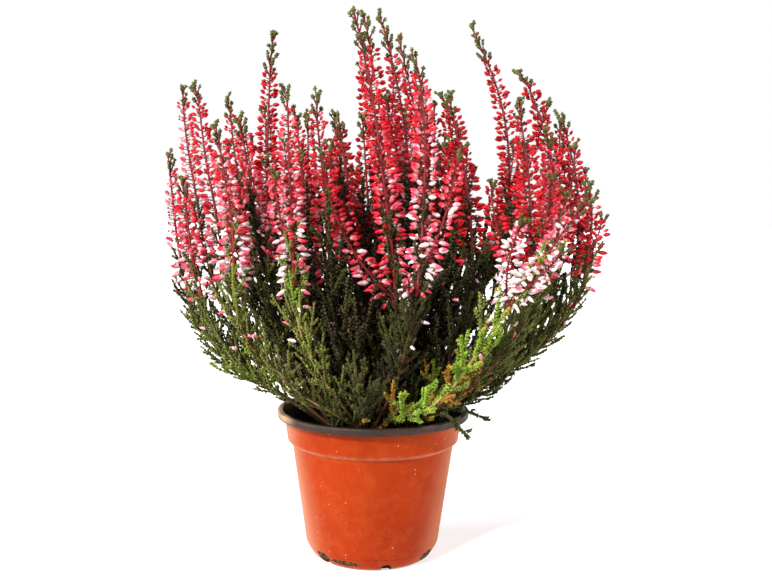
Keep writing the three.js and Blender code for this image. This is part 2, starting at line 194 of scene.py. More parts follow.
CUTTINGS = (
    Cutting(
        "heather_centre",
        (0, 2),
        (
            Spike((6, 5, 196), (-8, 6, 311), 3, RED, OLIVE, RUSSET, 2),
            Spike((22, -13, 180), (2, -16, 305), 4, ROSE, OLIVE, RUSSET, 2),
            Spike((-12, 25, 176), (-22, 28, 253), 0, RED, SHADED),
            Spike((-4, -8, 160), (-8, -8, 251), 2, RED, OLIVE, RUSSET, 2),
            Spike((40, 8, 168), (28, 10, 255), 2, RED, SHADED, sides=2),
            Spike((-23, -27, 160), (-32, -29, 261), 0, ROSE, DARK, ORANGE),
            Spike((32, 36, 172), (12, 39, 302), 4, CRIMSON, SHADED, sides=2),
        ),
    ),
    Cutting(
        "heather_right_front",
        (20, -14),
        (
            Spike((68, -66, 150), (107, -66, 206), 0, WHITE, LIME, ORANGE, 3, 180),
            Spike((81, -52, 160), (72, -56, 257), 3, RED, GREEN, RUSSET, 3, 190),
            Spike((54, -22, 170), (38, -24, 263), 3, CRIMSON, OLIVE, RUSSET),
            Spike((90, -24, 158), (93, -26, 243), 3, BLUSH, GREEN, sides=2),
            Spike((118, -6, 160), (119, -6, 216), 3, RED, GREEN, RUSSET),
            Spike((106, 6, 172), (82, 6, 278), 7, CRIMSON, GREEN, sides=2),
        ),
        (
            Spray((51, -50, 80), -30),
            Spray((64, -24, 84), -16),
            Spray((72, -12, 100), 24, DARK, ORANGE),
            Spray((91, -4, 118), 30, BRIGHT, stout=True),
            Spray((108, 4, 150), 74, GREEN, RUSSET, stout=True),
        ),
        slim=True,
    ),
    Cutting(
        "heather_front",
        (-2, -24),
        (
            Spike((22, -66, 156), (21, -68, 276), 4, BLUSH, OLIVE, RUSSET),
            Spike((12, -38, 148), (-11, -40, 303), 3, ROSE, DARK, RUSSET, 1, 190),
            Spike((-41, -51, 156), (-45, -51, 262), 0, BLUSH, BRIGHT, ORANGE),
        ),
        (
            Spray((-46, -74, 118), 48, GREEN, ORANGE),
            Spray((-8, -82, 122), 52),
            Spray((34, -84, 108), 40, LIME, ORANGE),
        ),
        slim=True,
    ),
    Cutting(
        "heather_left_front",
        (-21, -12),
        (
            Spike((-82, -9, 158), (-99, -11, 268), -1, ROSE, GREEN, sides=0),
            Spike((-73, -46, 158), (-83, -48, 244), 3, BLUSH, BRIGHT, ORANGE),
            Spike((-60, -24, 168), (-73, -26, 249), 0, BLUSH, GREEN),
            Spike((-92, -30, 148), (-102, -32, 216), -2, BLUSH, GREEN, sides=0),
            Spike((-106, 2, 148), (-117, 2, 230), -2, BLUSH, DARK),
        ),
        (
            Spray((-87, -12, 113), 22, GREEN),
            Spray((-73, -50, 113), 20, BRIGHT),
            Spray((-100, -14, 136), 55, GREEN),
        ),
        basal_shoots=3,
        bare_foot=0.45,
        slim=True,
    ),
    Cutting(
        "heather_left_back",
        (-20, 14),
        (
            Spike((-100, 36, 160), (-117, 40, 271), -2, BLUSH, DARK, sides=0),
            Spike((-76, 26, 164), (-87, 28, 263), 0, ROSE, DARK),
            Spike((-60, 12, 166), (-59, 13, 299), -3, RED, OLIVE, sides=2),
            Spike((-38, 4, 160), (-45, 5, 255), 0, ROSE, OLIVE, ORANGE, 2),
            Spike((-40, 54, 160), (-43, 57, 257), 0, RED, OLIVE),
            Spike((-84, 68, 154), (-95, 74, 240), 0, ROSE, GREEN),
        ),
        (
            Spray((-80, 32, 112), 40),
            Spray((-66, 72, 108), 40, GREEN),
        ),
        core_shoots=5,
    ),
    Cutting(
        "heather_back",
        (2, 25),
        (
            Spike((-15, 58, 170), (-27, 61, 258), 0, RED, OLIVE),
            Spike((16, 68, 168), (19, 73, 261)),
            Spike((-54, 84, 156), (-61, 90, 246), 0, ROSE, GREEN),
            Spike((-20, 92, 158), (-25, 98, 250)),
            Spike((14, 96, 160), (16, 102, 252), 0, BLUSH, GREEN),
            Spike((46, 88, 158), (53, 94, 250)),
        ),
        (
            Spray((38, 90, 110), 40, GREEN),
            Spray((-14, 94, 112), 42),
        ),
        core_shoots=5,
    ),
    Cutting(
        "heather_right_back",
        (22, 14),
        (
            Spike((53, 52, 180), (41, 56, 270), 2, CRIMSON, OLIVE),
            Spike((70, 22, 170), (53, 24, 306), 16, RED, OLIVE),
            Spike((122, 28, 166), (109, 30, 256), 4, RED, OLIVE, sides=2),
            Spike((78, 70, 158), (88, 76, 243), 0, ROSE, DARK),
            Spike((103, 48, 158), (112, 54, 238), 2, RED, DARK),
        ),
        (
            Spray((98, 24, 136), 50, BRIGHT, stout=True),
            Spray((88, 58, 114), 42, GREEN),
        ),
    ),
)


# ---- lines in space


def unit(vectors: Array) -> Array:
    """The directions of vectors, one in each row, at length one."""
    return vectors / np.linalg.norm(vectors, axis=-1, keepdims=True)


def square_to(directions: Array, hint: Array) -> Array:
    """Unit vectors square to unit directions, one in each row, that lean to hint as far as they can."""
    return unit(hint - directions * np.sum(directions * hint, axis=-1, keepdims=True))


def turned(across: Array, along: Array, angles: Array) -> Array:
    """Unit vectors that are square to along, turned round it by angles in radians, one in each row."""
    angles = np.asarray(angles)[..., None]
    return across * np.cos(angles) + np.cross(along, across) * np.sin(angles)


def leaning(azimuth: float, slope: float) -> Array:
    """The unit direction that leans to azimuth, in radians, and rises by slope, in degrees."""
    flat, rise = np.array((math.cos(azimuth), math.sin(azimuth), 0)), math.radians(slope)
    return flat * math.cos(rise) + UP * math.sin(rise)


@dataclass(frozen=True)
class Line:
    """A centre line, as the points of short straight steps."""

    points: Array

    @property
    def marks(self) -> Array:
        """How far along the line each point is."""
        steps = np.linalg.norm(np.diff(self.points, axis=0), axis=1)
        return np.concatenate(([0.0], np.cumsum(steps)))

    @property
    def length(self) -> float:
        """The line's length."""
        return float(self.marks[-1])

    def at(self, distances: Array) -> tuple[Array, Array]:
        """Places on the line and its directions there.

        Args:
            distances: How far along the line, from its start.

        Returns:
            The places and the unit directions, one in each row.
        """
        marks, reach = self.marks, 0.4
        ends = [np.clip(distances + shift, 0, marks[-1]) for shift in (-reach, 0, reach)]
        before, here, after = (
            np.stack([np.interp(end, marks, self.points[:, axis]) for axis in range(3)], axis=-1)
            for end in ends
        )
        return here, unit(after - before)


def bezier(controls: list[Array], steps: int) -> Line:
    """A line along a Bezier curve of any degree.

    Args:
        controls: The curve's control points.
        steps: How many straight steps the line has.

    Returns:
        The line.
    """
    t = np.linspace(0, 1, steps + 1)[:, None]
    level = [np.asarray(point, float)[None, :] * np.ones_like(t) for point in controls]
    while len(level) > 1:
        level = [a * (1 - t) + b * t for a, b in zip(level, level[1:])]
    return Line(level[0])


@dataclass(frozen=True)
class StemPlan:
    """The rule for a stem's way out of the crown, which is the frame's own."""

    crown_height: float = 73.7
    lift: float = 0.36
    steep_lift: float = 0.25
    low_lift: float = 0.5
    straightness: float = 0.34

    def crown(self, cutting: Cutting) -> Array:
        """Where a cutting's stems part."""
        return np.array((*cutting.at, self.crown_height), float)

    def raceme(self, spike: Spike, steps: int = 24) -> Line:
        """A flower spike's centre line."""
        start, end = np.array(spike.start, float), np.array(spike.end, float)
        return bezier([start, (start + end) / 2 + EAST * 2 * spike.bow, end], steps)

    def stem(self, crown: Array, end: Array, direction: Array, steps: int = 20) -> Line:
        """A stem's centre line: out of the crown at a slant, then turning to meet its end.

        Args:
            crown: Where it starts.
            end: Where it ends.
            direction: The unit direction in which it ends.
            steps: How many straight steps the line has.

        Returns:
            The line.
        """
        out = (end - crown) * (1, 1, 0)
        reach, rise = float(np.linalg.norm(out)), float(end[2] - crown[2])
        steep = self.steep_lift * max(0.0, rise - reach)
        low = self.low_lift * max(0.0, reach / 2 - rise)
        first = crown + out / 2 + UP * (self.lift * reach + steep + low)
        last = end - direction * self.straightness * math.hypot(reach, rise)
        return bezier([crown, first, last, end], steps)

    def to_spike(self, cutting: Cutting, spike: Spike) -> Line:
        """The stem that carries a flower spike."""
        start, middle = self.raceme(spike).points[[0, 1]]
        return self.stem(self.crown(cutting), start, unit(middle - start))

    def to_spray(self, cutting: Cutting, spray: Spray) -> Line:
        """The stem of a leafy shoot.

        Args:
            cutting: The cutting that grows it.
            spray: The shoot.

        Returns:
            The stem's line.
        """
        crown, tip = self.crown(cutting), np.array(spray.tip, float)
        outward = unit((tip - crown) * (1, 1, 0))
        slope = math.radians(spray.slope)
        return self.stem(crown, tip, outward * math.cos(slope) + UP * math.sin(slope))


PLAN = StemPlan()


# ---- modelling by hand


def link(obj: bpy.types.Object) -> None:
    """Puts an object in the scene."""
    bpy.context.scene.collection.objects.link(obj)


def deselect() -> None:
    """Leaves nothing selected."""
    bpy.ops.object.select_all(action="DESELECT")


def pick(obj: bpy.types.Object) -> None:
    """Selects one object alone and makes it active.

    Args:
        obj: The object.
    """
    deselect()
    obj.select_set(True)
    bpy.context.view_layer.objects.active = obj


def close_up(obj: bpy.types.Object) -> None:
    """Merges an object's double points and turns its faces outwards.

    Args:
        obj: The object.
    """
    pick(obj)
    bpy.ops.object.mode_set(mode="EDIT")
    bpy.ops.mesh.select_all(action="SELECT")
    bpy.ops.mesh.remove_doubles(threshold=1e-5)
    bpy.ops.mesh.normals_make_consistent(inside=False)
    bpy.ops.object.mode_set(mode="OBJECT")


def draw_out(height: float, growth: float) -> None:
    """Extrudes the selected cap by height along +Z, then scales its width by growth."""
    bpy.ops.mesh.extrude_region_move(TRANSFORM_OT_translate={"value": (0, 0, height)})
    bpy.ops.transform.resize(value=(growth, growth, 1))


def turn_profile(profile: list[tuple[float, float]], sides: int) -> bpy.types.Object:
    """A closed turned solid, drawn out ring by ring from a disc at the start of its profile.

    Args:
        profile: Pairs of radius and height, from one end face round to the other.
        sides: How many sides each ring has.

    Returns:
        The new object, in object mode, with its faces pointing out.
    """
    deselect()
    radius, height = profile[0]
    bpy.ops.mesh.primitive_circle_add(
        vertices=sides, radius=radius, fill_type="NGON", location=(0, 0, height)
    )
    bpy.ops.object.transform_apply(location=True)
    turned_piece = bpy.context.active_object
    bpy.ops.object.mode_set(mode="EDIT")
    bpy.ops.mesh.select_all(action="SELECT")
    for next_radius, next_height in profile[1:]:
        draw_out(next_height - height, max(next_radius, 1e-4) / radius)
        radius, height = max(next_radius, 1e-4), next_height
    bpy.ops.object.mode_set(mode="OBJECT")
    close_up(turned_piece)
    return turned_piece


@dataclass(frozen=True)
class Stamp:
    """A small shape that is modelled once and copied many times.

    It runs along +Z from its root at 0 to its tip at 1, and its half width is 1.
    """

    points: Array
    faces: Array

    @classmethod
    def of(cls, model: bpy.types.Object) -> Stamp:
        """Reads a modelled object's triangles and removes the object.

        Args:
            model: The object.

        Returns:
            Its shape.
        """
        mesh = model.data
        mesh.calc_loop_triangles()
        points = np.array([vertex.co for vertex in mesh.vertices], float)
        faces = np.array([triangle.vertices for triangle in mesh.loop_triangles], int)
        bpy.data.objects.remove(model)
        bpy.data.meshes.remove(mesh)
        return cls(points, faces)


def model_leaf() -> Stamp:
    """A scale leaf: pointed at both ends, with its two edges folded towards the stem.

    Returns:
        The leaf's shape.
    """
    widest, fold = 0.42, 0.5
    deselect()
    bpy.ops.mesh.primitive_cone_add(vertices=3, radius1=1, radius2=0, depth=1, location=(0, 0, 0.5))
    bpy.ops.object.transform_apply(location=True)
    model = bpy.context.active_object
    for vertex in model.data.vertices:
        if vertex.co.z > 0.5:
            vertex.co = (0, 0, 1)
        elif abs(vertex.co.x) < 0.1:
            vertex.co = (0, 0, 0)
        else:
            vertex.co = (math.copysign(1, vertex.co.x), fold, widest)
    close_up(model)
    return Stamp.of(model)


def model_bud() -> Stamp:
    """A closed bud: four sepals folded to a point, a little flatter one way than the other.

    Returns:
        The bud's shape.
    """
    flatness = 0.9
    profile = [(0.42, 0), (1, 0.3), (0.74, 0.72), (1e-4, 1)]
    model = turn_profile(profile, 4)
    for vertex in model.data.vertices:
        vertex.co.y *= flatness
    return Stamp.of(model)


def model_cup() -> Stamp:
    """The cup of small bracts that holds a bud's root: a short four-sided cone on its point."""
    return Stamp.of(turn_profile([(1e-4, 0), (1, 1)], 4))


def model_crumb() -> Stamp:
    """A crumb of peat: a small rough lump, centred on its own middle.

    Returns:
        The crumb's shape.
    """
    deselect()
    bpy.ops.mesh.primitive_ico_sphere_add(subdivisions=1, radius=1)
    model = bpy.context.active_object
    for vertex in model.data.vertices:
        vertex.co *= 0.8 + 0.4 * noise.noise(vertex.co * 1.7)
    return Stamp.of(model)


# ---- growing a mesh


class Copies:
    """Where and how large each copy of a stamp is, one copy in each row."""

    def __init__(self) -> None:
        """Starts with no copies."""
        self.batches: list[tuple[Array, ...]] = []

    def add(
        self, roots: Array, alongs: Array, sides: Array, lengths: Array, widths: Array, tones: Array
    ) -> None:
        """Adds a batch, whose sides are unit vectors square to alongs that each copy turns its +X to."""
        self.batches.append((roots, alongs, sides, lengths, widths, tones))

    def columns(self) -> list[Array]:
        """The roots, directions, sides, lengths, half widths and tints of all the copies."""
        return [np.concatenate(column) for column in zip(*self.batches)]


class Skin:
    """Gathers one plant piece's triangles, with each part's material and place on the growth map."""

    TINT_SPREAD = 0.003  # half the width of one copy on the growth map
    EDGE = 0.01  # left free at the map's foot and head

    def __init__(self, box: Box) -> None:
        """Starts with no triangles.

        Args:
            box: The lowest and highest corner that its copies stay inside.
        """
        self.box = box
        self.points: list[Array] = []
        self.faces: list[Array] = []
        self.places: list[Array] = []
        self.parts: list[Array] = []
        self.count = 0

    def _add(self, points: Array, faces: Array, places: Array, part: Part) -> None:
        """Keeps a batch of triangles.

        Args:
            points: Their corners.
            faces: The three corners of each, counted from the batch's first.
            places: Each corner's place on the growth map.
            part: What part of the growth they are.
        """
        self.points.append(points)
        self.faces.append(faces + self.count)
        self.places.append(places)
        self.parts.append(np.full(len(faces), int(part)))
        self.count += len(points)

    def _places(self, tones: Array, along: Array, across: Array, over: Array, part: Part) -> Array:
        """Places on the growth map, for rows of copies and columns of points.

        Args:
            tones: The copies' tints, from 0 to 1.
            along: How far along its growth each point is, from 0 to 1.
            across: Where it is across the growth, from -1 to 1.
            over: Where it is square to that, from -1 to 1.
            part: What part of the growth they are.

        Returns:
            A place for each point of each copy.
        """
        low, high = BANDS[part]
        middle = low + (high - low) * np.clip(tones, 0.01, 0.99)
        u = middle + self.TINT_SPREAD * across
        v = self.EDGE + (1 - 2 * self.EDGE) * along + self.TINT_SPREAD * over
        return np.stack(np.broadcast_arrays(u, v), axis=-1)

    def add_copies(self, stamp: Stamp, copies: Copies, part: Part) -> None:
        """Places the copies of a stamp, without those that would leave the box.

        Args:
            stamp: The shape to copy.
            copies: Where the copies go.
            part: What part of the growth they are.
        """
        if not copies.batches:
            return
        roots, along, side, lengths, widths, tones = (column[:, None] for column in copies.columns())
        lengths, widths = lengths[:, None], widths[:, None]
        x, y, z = (stamp.points[None, :, axis, None] for axis in range(3))
        points = roots + widths * x * side + widths * y * np.cross(along, side) + lengths * z * along
        low, high = self.box
        inside = np.all((points > low) & (points < high), axis=(1, 2))
        points = points[inside]
        number, size = points.shape[:2]
        faces = stamp.faces[None] + size * np.arange(number)[:, None, None]
        places = self._places(tones[inside], z[..., 0], x[..., 0], y[..., 0], part)
        self._add(points.reshape(-1, 3), faces.reshape(-1, 3), places.reshape(-1, 2), part)

    def add_tubes(self, lines: Array, radii: Array, tones: Array, sides: int, part: Part) -> None:
        """Adds closed round stems along lines that have the same number of points.

        Args:
            lines: The lines' points, one line in each row.
            radii: The stem's radius at each point.
            tones: Each stem's tint, from 0 to 1.
            sides: How many sides the stems have.
            part: What part of the growth they are.
        """
        number, rings = lines.shape[:2]
        along = unit(np.gradient(lines, axis=1))
        chord = unit(lines[:, -1] - lines[:, 0])
        hint = np.where(np.abs(chord[:, 2:]) > 0.97, EAST, np.cross(chord, UP))
        side = square_to(along, hint[:, None, :])
        over = np.cross(along, side)
        angles = np.arange(sides) * 2 * math.pi / sides
        cos, sin = np.cos(angles), np.sin(angles)
        ring = side[:, :, None, :] * cos[:, None] + over[:, :, None, :] * sin[:, None]
        points = lines[:, :, None, :] + ring * radii[:, :, None, None]
        near = np.arange(sides)
        far = (near + 1) % sides
        rows = (np.arange(rings - 1) * sides)[:, None]
        lower = np.stack([rows + near, rows + far, rows + sides + far], axis=-1)
        upper = np.stack([rows + near, rows + sides + far, rows + sides + near], axis=-1)
        fan = np.arange(1, sides - 1)
        foot = np.stack([0 * fan, fan + 1, fan], axis=-1)
        head = np.stack([0 * fan, fan, fan + 1], axis=-1) + (rings - 1) * sides
        one = np.concatenate([lower.reshape(-1, 3), upper.reshape(-1, 3), foot, head])
        faces = one[None] + (rings * sides) * np.arange(number)[:, None, None]
        share = np.repeat(np.linspace(0, 1, rings), sides)
        places = self._places(tones[:, None], share, np.tile(cos, rings), np.tile(sin, rings), part)
        self._add(points.reshape(-1, 3), faces.reshape(-1, 3), places.reshape(-1, 2), part)

    def piece(self, name: str, materials: list[bpy.types.Material]) -> bpy.types.Object:
        """Makes the piece.

        Args:
            name: The new piece's name.
            materials: Its materials, in the order of Part.

        Returns:
            The new object, at the origin.
        """
        points, faces = np.concatenate(self.points) * MM, np.concatenate(self.faces)
        mesh = bpy.data.meshes.new(name)
        mesh.vertices.add(len(points))
        mesh.vertices.foreach_set("co", points.astype(np.float32).ravel())
        mesh.loops.add(faces.size)
        mesh.loops.foreach_set("vertex_index", faces.astype(np.int32).ravel())
        mesh.polygons.add(len(faces))
        mesh.polygons.foreach_set("loop_start", np.arange(0, faces.size, 3, dtype=np.int32))
        mesh.polygons.foreach_set("material_index", np.concatenate(self.parts).astype(np.int32))
        mesh.polygons.foreach_set("use_smooth", np.ones(len(faces), bool))
        for material in materials:
            mesh.materials.append(material)
        growth_map = mesh.uv_layers.new(name=GROWTH_MAP)
        places = np.concatenate(self.places)[faces.ravel()]
        growth_map.uv.foreach_set("vector", places.astype(np.float32).ravel())
        mesh.update(calc_edges=True)
        mesh.validate()
        piece = bpy.data.objects.new(name, mesh)
        link(piece)
        return piece


# ---- node trees


class Graph:
    """A short way to add nodes to one tree and join them."""

    def __init__(self, tree: bpy.types.NodeTree) -> None:
        """Takes the tree that the nodes go in."""
        self.tree = tree

    def fill(self, node: bpy.types.Node, inputs: dict) -> None:
        """Gives a node's sockets what they get.

        Args:
            node: The node.
            inputs: For each socket by name or number, a socket to join or a value to set.
        """
        for name, value in inputs.items():
            if isinstance(value, bpy.types.NodeSocket):
                self.tree.links.new(value, node.inputs[name])
            else:
                node.inputs[name].default_value = value

    def add(self, kind: str, inputs: dict | None = None, **settings: object) -> bpy.types.Node:
        """Adds a node.

        Args:
            kind: The node's type, without the ShaderNode at its start.
            inputs: What its sockets get, as in fill.
            settings: Its own settings.

        Returns:
            The node.
        """
        node = self.tree.nodes.new(kind if kind.startswith("Node") else f"ShaderNode{kind}")
        for name, value in settings.items():
            setattr(node, name, value)
        self.fill(node, inputs or {})
        return node

    def use(self, group: bpy.types.NodeTree, **inputs: object) -> bpy.types.bpy_prop_collection:
        """Places a node group and returns its outputs. An input's name has an underscore for each space."""
        named = {name.replace("_", " "): value for name, value in inputs.items()}
        return self.add("Group", named, node_tree=group).outputs

    def math(self, operation: str, first: object, second: object = 0.0) -> bpy.types.NodeSocket:
        """Adds a Math node and returns its result."""
        return self.add("Math", {0: first, 1: second}, operation=operation).outputs[0]

    def times(self, first: object, second: object) -> bpy.types.NodeSocket:
        """Multiplies two values."""
        return self.math("MULTIPLY", first, second)

    def step(self, value: object, low: object, high: object) -> bpy.types.NodeSocket:
        """A smooth rise from 0 where value is low to 1 where it is high."""
        ends = {"Value": value, "From Min": low, "From Max": high}
        return self.add("MapRange", ends, interpolation_type="SMOOTHSTEP").outputs["Result"]

    def between(self, share: object, low: float, high: float) -> bpy.types.NodeSocket:
        """A value from low, where share is 0, to high, where it is 1."""
        return self.add("MapRange", {"Value": share, "To Min": low, "To Max": high}).outputs["Result"]

    def blend(self, share: object, first: object, second: object) -> bpy.types.NodeSocket:
        """Mixes two colours.

        Args:
            share: How much of the second colour.
            first: A colour or a socket.
            second: A colour or a socket.

        Returns:
            The mixed colour.
        """
        ends = [(*end, 1) if isinstance(end, tuple) else end for end in (first, second)]
        mix = self.add("Mix", {"Factor": share, 6: ends[0], 7: ends[1]}, data_type="RGBA")
        return mix.outputs[2]

    def ramp(self, value: bpy.types.NodeSocket, stops: Stops) -> bpy.types.NodeSocket:
        """Adds a colour ramp.

        Args:
            value: What it reads, from 0 to 1.
            stops: Its places and their colours.

        Returns:
            The ramp's colour.
        """
        node = self.add("ValToRGB", {"Fac": value})
        elements = node.color_ramp.elements
        while len(elements) < len(stops):
            elements.new(0.5)
        for element, (place, colour) in zip(elements, stops):
            element.position = place
            element.color = (*colour, 1)
        return node.outputs["Color"]


class Surface(Graph):
    """A material's graph, with its Principled shader."""

    def __init__(self, name: str) -> None:
        """Starts the material.

        Args:
            name: Its name.
        """
        self.material = bpy.data.materials.new(name)
        self.material.use_nodes = True
        super().__init__(self.material.node_tree)
        self.shader = self.tree.nodes["Principled BSDF"]

    def finish(
        self,
        colour: object,
        roughness: object,
        specular: float,
        relief: object,
        depth: float,
        strength: float,
    ) -> bpy.types.Material:
        """Sets the shader's colour, gloss and fine relief.

        Args:
            colour: The base colour.
            roughness: The roughness, a number or a socket.
            specular: How strongly it reflects, with 0.5 as usual.
            relief: The socket with the relief's height, from 0 to 1.
            depth: The height of 1, in metres.
            strength: The relief's strength.

        Returns:
            The material.
        """
        bump = self.add("Bump", {"Height": relief, "Distance": depth, "Strength": strength})
        looks = {"Base Color": colour, "Roughness": roughness, "Specular IOR Level": specular}
        self.fill(self.shader, {**looks, "Normal": bump.outputs["Normal"]})
        return self.material


def new_group(
    name: str, inputs: dict[str, float], outputs: tuple[str, ...]
) -> tuple[Graph, bpy.types.bpy_prop_collection, bpy.types.Node]:
    """Starts a node group whose sockets are all numbers.

    Args:
        name: The group's name.
        inputs: Its inputs, with what each is by default.
        outputs: Its outputs.

    Returns:
        The group's graph, its input sockets and its output node.
    """
    tree = bpy.data.node_groups.new(name, "ShaderNodeTree")
    for label, value in inputs.items():
        socket = tree.interface.new_socket(label, in_out="INPUT", socket_type="NodeSocketFloat")
        socket.default_value = value
    for label in outputs:
        tree.interface.new_socket(label, in_out="OUTPUT", socket_type="NodeSocketFloat")
    graph = Graph(tree)
    return graph, graph.add("NodeGroupInput").outputs, graph.add("NodeGroupOutput")


class Effects:
    """The shader effects that more than one material uses, each built once."""

    def __init__(self) -> None:
        """Builds the groups."""
        self.growth = self._growth()
        self.mottle = self._mottle()
        self.specks = self._specks()

    def _growth(self) -> bpy.types.NodeTree:
        """Builds the group that reads the growth map.

        Returns:
            The group. It puts out a growth's tint, how far along it a place is, and a fine grain.
        """
        inputs = {"From": 0.0, "To": 1.0, "Grain scale": 20.0}
        graph, given, out = new_group("Growth map", inputs, ("Tint", "Along", "Grain"))
        place = graph.add("UVMap", uv_map=GROWTH_MAP).outputs["UV"]
        across = graph.add("SeparateXYZ", {0: place}).outputs
        band = {"Value": across["X"], "From Min": given["From"], "From Max": given["To"]}
        tint = graph.add("MapRange", band).outputs["Result"]
        grain = graph.add("TexNoise", {"Vector": place, "Scale": given["Grain scale"], "Detail": 3.0})
        graph.fill(out, {"Tint": tint, "Along": across["Y"], "Grain": grain.outputs["Fac"]})
        return graph.tree

    def _mottle(self) -> bpy.types.NodeTree:
        """Builds the group of soft uneven patches over a piece.

        Returns:
            The group. It puts out a mask from 0 to 1.
        """
        graph, given, out = new_group("Mottle", {"Scale": 40.0, "Low": 0.35, "High": 0.65}, ("Mask",))
        place = graph.add("TexCoord").outputs["Object"]
        cloud = graph.add("TexNoise", {"Vector": place, "Scale": given["Scale"], "Detail": 4.0})
        graph.fill(out, {"Mask": graph.step(cloud.outputs["Fac"], given["Low"], given["High"])})
        return graph.tree

    def _specks(self) -> bpy.types.NodeTree:
        """Builds the group of small scattered specks.

        Returns:
            The group. It puts out 1 inside a speck and 0 elsewhere.
        """
        graph, given, out = new_group("Specks", {"Scale": 300.0, "Size": 0.2, "Share": 0.1}, ("Mask",))
        place = graph.add("TexCoord").outputs["Object"]
        cells = graph.add("TexVoronoi", {"Vector": place, "Scale": given["Scale"]}).outputs
        chosen = graph.add("SeparateColor", {"Color": cells["Color"]}).outputs["Red"]
        near = graph.math("LESS_THAN", cells["Distance"], given["Size"])
        graph.fill(out, {"Mask": graph.times(near, graph.math("LESS_THAN", chosen, given["Share"]))})
        return graph.tree


EFFECTS = Effects()


# ---- finishes


@dataclass(frozen=True)
class BarkFinish:
    """Thin bark, from grey-brown old wood to the dark red of a young flowering stem."""

    name: str = "heather bark"
    bark: Stops = (
        (0.0, (0.06, 0.045, 0.035)),
        (0.3, (0.085, 0.04, 0.02)),
        (0.52, (0.62, 0.32, 0.12)),
        (0.67, (0.15, 0.036, 0.016)),
        (0.8, (0.28, 0.015, 0.015)),
        (1.0, (0.11, 0.006, 0.006)),
    )
    # dark streaks in the bark, and the painted shade at the feet of brown and tan stems
    dark: Colour = (0.02, 0.01, 0.006)

    def make(self) -> bpy.types.Material:
        """Builds the material, with grain streaks, and painted shade on brown and tan stems at their feet.

        Returns:
            The material.
        """
        look = Surface(self.name)
        low, high = BANDS[Part.WOOD]
        growth = look.use(EFFECTS.growth, From=low, To=high, Grain_scale=90.0)
        tint, along, grain = growth["Tint"], growth["Along"], growth["Grain"]
        # painted shade: brown and tan stems darken towards their feet, inside the plant
        brown = look.times(look.step(along, 0.6, 0.1), look.step(tint, 0.46, 0.38))
        tan = look.times(look.step(along, 0.42, 0.16), look.step(tint, 0.64, 0.58))
        foot = look.times(look.math("MAXIMUM", brown, tan), 0.7)
        streaks = look.times(look.step(grain, 0.45, 0.62), 0.45)
        share = look.math("MAXIMUM", streaks, foot)
        colour = look.blend(share, look.ramp(tint, self.bark), self.dark)
        return look.finish(colour, 0.62, specular=0.35, relief=grain, depth=0.0003, strength=0.5)


@dataclass(frozen=True)
class LeafFinish:
    """Scale leaves, from near-black painted shade for the inside to lime young growth and dry orange-brown.

    Green and olive take turns along the tints, so that neighbouring leaves differ.
    """

    name: str = "heather leaves"
    leaf: Stops = (
        # the first stops are near black: painted shade for the plant's inside
        (0.0, (0.006, 0.004, 0.002)),
        (0.12, (0.018, 0.014, 0.006)),
        (0.2, (0.046, 0.037, 0.01)),
        (0.27, (0.036, 0.056, 0.012)),
        (0.34, (0.08, 0.072, 0.021)),
        (0.41, (0.084, 0.112, 0.022)),
        (0.48, (0.142, 0.136, 0.038)),
        (0.56, (0.16, 0.193, 0.038)),
        (0.64, (0.25, 0.24, 0.055)),
        (0.8, (0.19, 0.37, 0.03)),
        (0.88, (0.42, 0.46, 0.05)),
        (1.0, (0.45, 0.15, 0.03)),
    )
    # painted shade where a leaf's root sits against its stem
    root: Colour = (0.012, 0.009, 0.004)
    tip: Colour = (0.32, 0.25, 0.1)

    def make(self) -> bpy.types.Material:
        """Builds the material, with painted shade at a leaf's root and a little dry at its tip.

        Returns:
            The material.
        """
        look = Surface(self.name)
        low, high = BANDS[Part.LEAF]
        growth = look.use(EFFECTS.growth, From=low, To=high, Grain_scale=160.0)
        along, grain = growth["Along"], growth["Grain"]
        # painted shade: the leaf darkens towards its root
        rooted = look.times(look.step(along, 0.5, 0.0), 0.65)
        colour = look.blend(rooted, look.ramp(growth["Tint"], self.leaf), self.root)
        colour = look.blend(look.times(look.step(along, 0.7, 1.0), 0.25), colour, self.tip)
        roughness = look.between(grain, 0.38, 0.62)
        return look.finish(colour, roughness, specular=0.14, relief=grain, depth=0.0001, strength=0.3)


@dataclass(frozen=True)
class PetalFinish:
    """Bud sepals, from white with a blush at the tip to deep crimson, paler at the root."""

    name: str = "heather buds"
    root: Stops = (
        (0.0, (0.98, 0.96, 0.91)),
        (0.26, (0.97, 0.86, 0.82)),
        (0.46, (0.94, 0.36, 0.37)),
        (0.68, (0.78, 0.04, 0.05)),
        (1.0, (0.4, 0.006, 0.009)),
    )
    tip: Stops = (
        (0.0, (0.97, 0.88, 0.85)),
        (0.13, (0.94, 0.56, 0.6)),
        (0.27, (0.9, 0.11, 0.21)),
        (0.46, (0.8, 0.018, 0.05)),
        (0.68, (0.62, 0.004, 0.01)),
        (1.0, (0.34, 0.003, 0.005)),
    )
    vein: Colour = (0.5, 0.01, 0.04)

    def make(self) -> bpy.types.Material:
        """Builds the material, with faint veins.

        Returns:
            The material.
        """
        look = Surface(self.name)
        low, high = BANDS[Part.PETAL]
        growth = look.use(EFFECTS.growth, From=low, To=high, Grain_scale=70.0)
        tint, grain = growth["Tint"], growth["Grain"]
        share = look.step(growth["Along"], 0.05, 0.6)
        petal = look.blend(share, look.ramp(tint, self.root), look.ramp(tint, self.tip))
        colour = look.blend(look.times(look.step(grain, 0.5, 0.68), 0.22), petal, self.vein)
        return look.finish(colour, 0.27, specular=0.18, relief=grain, depth=0.00015, strength=0.25)


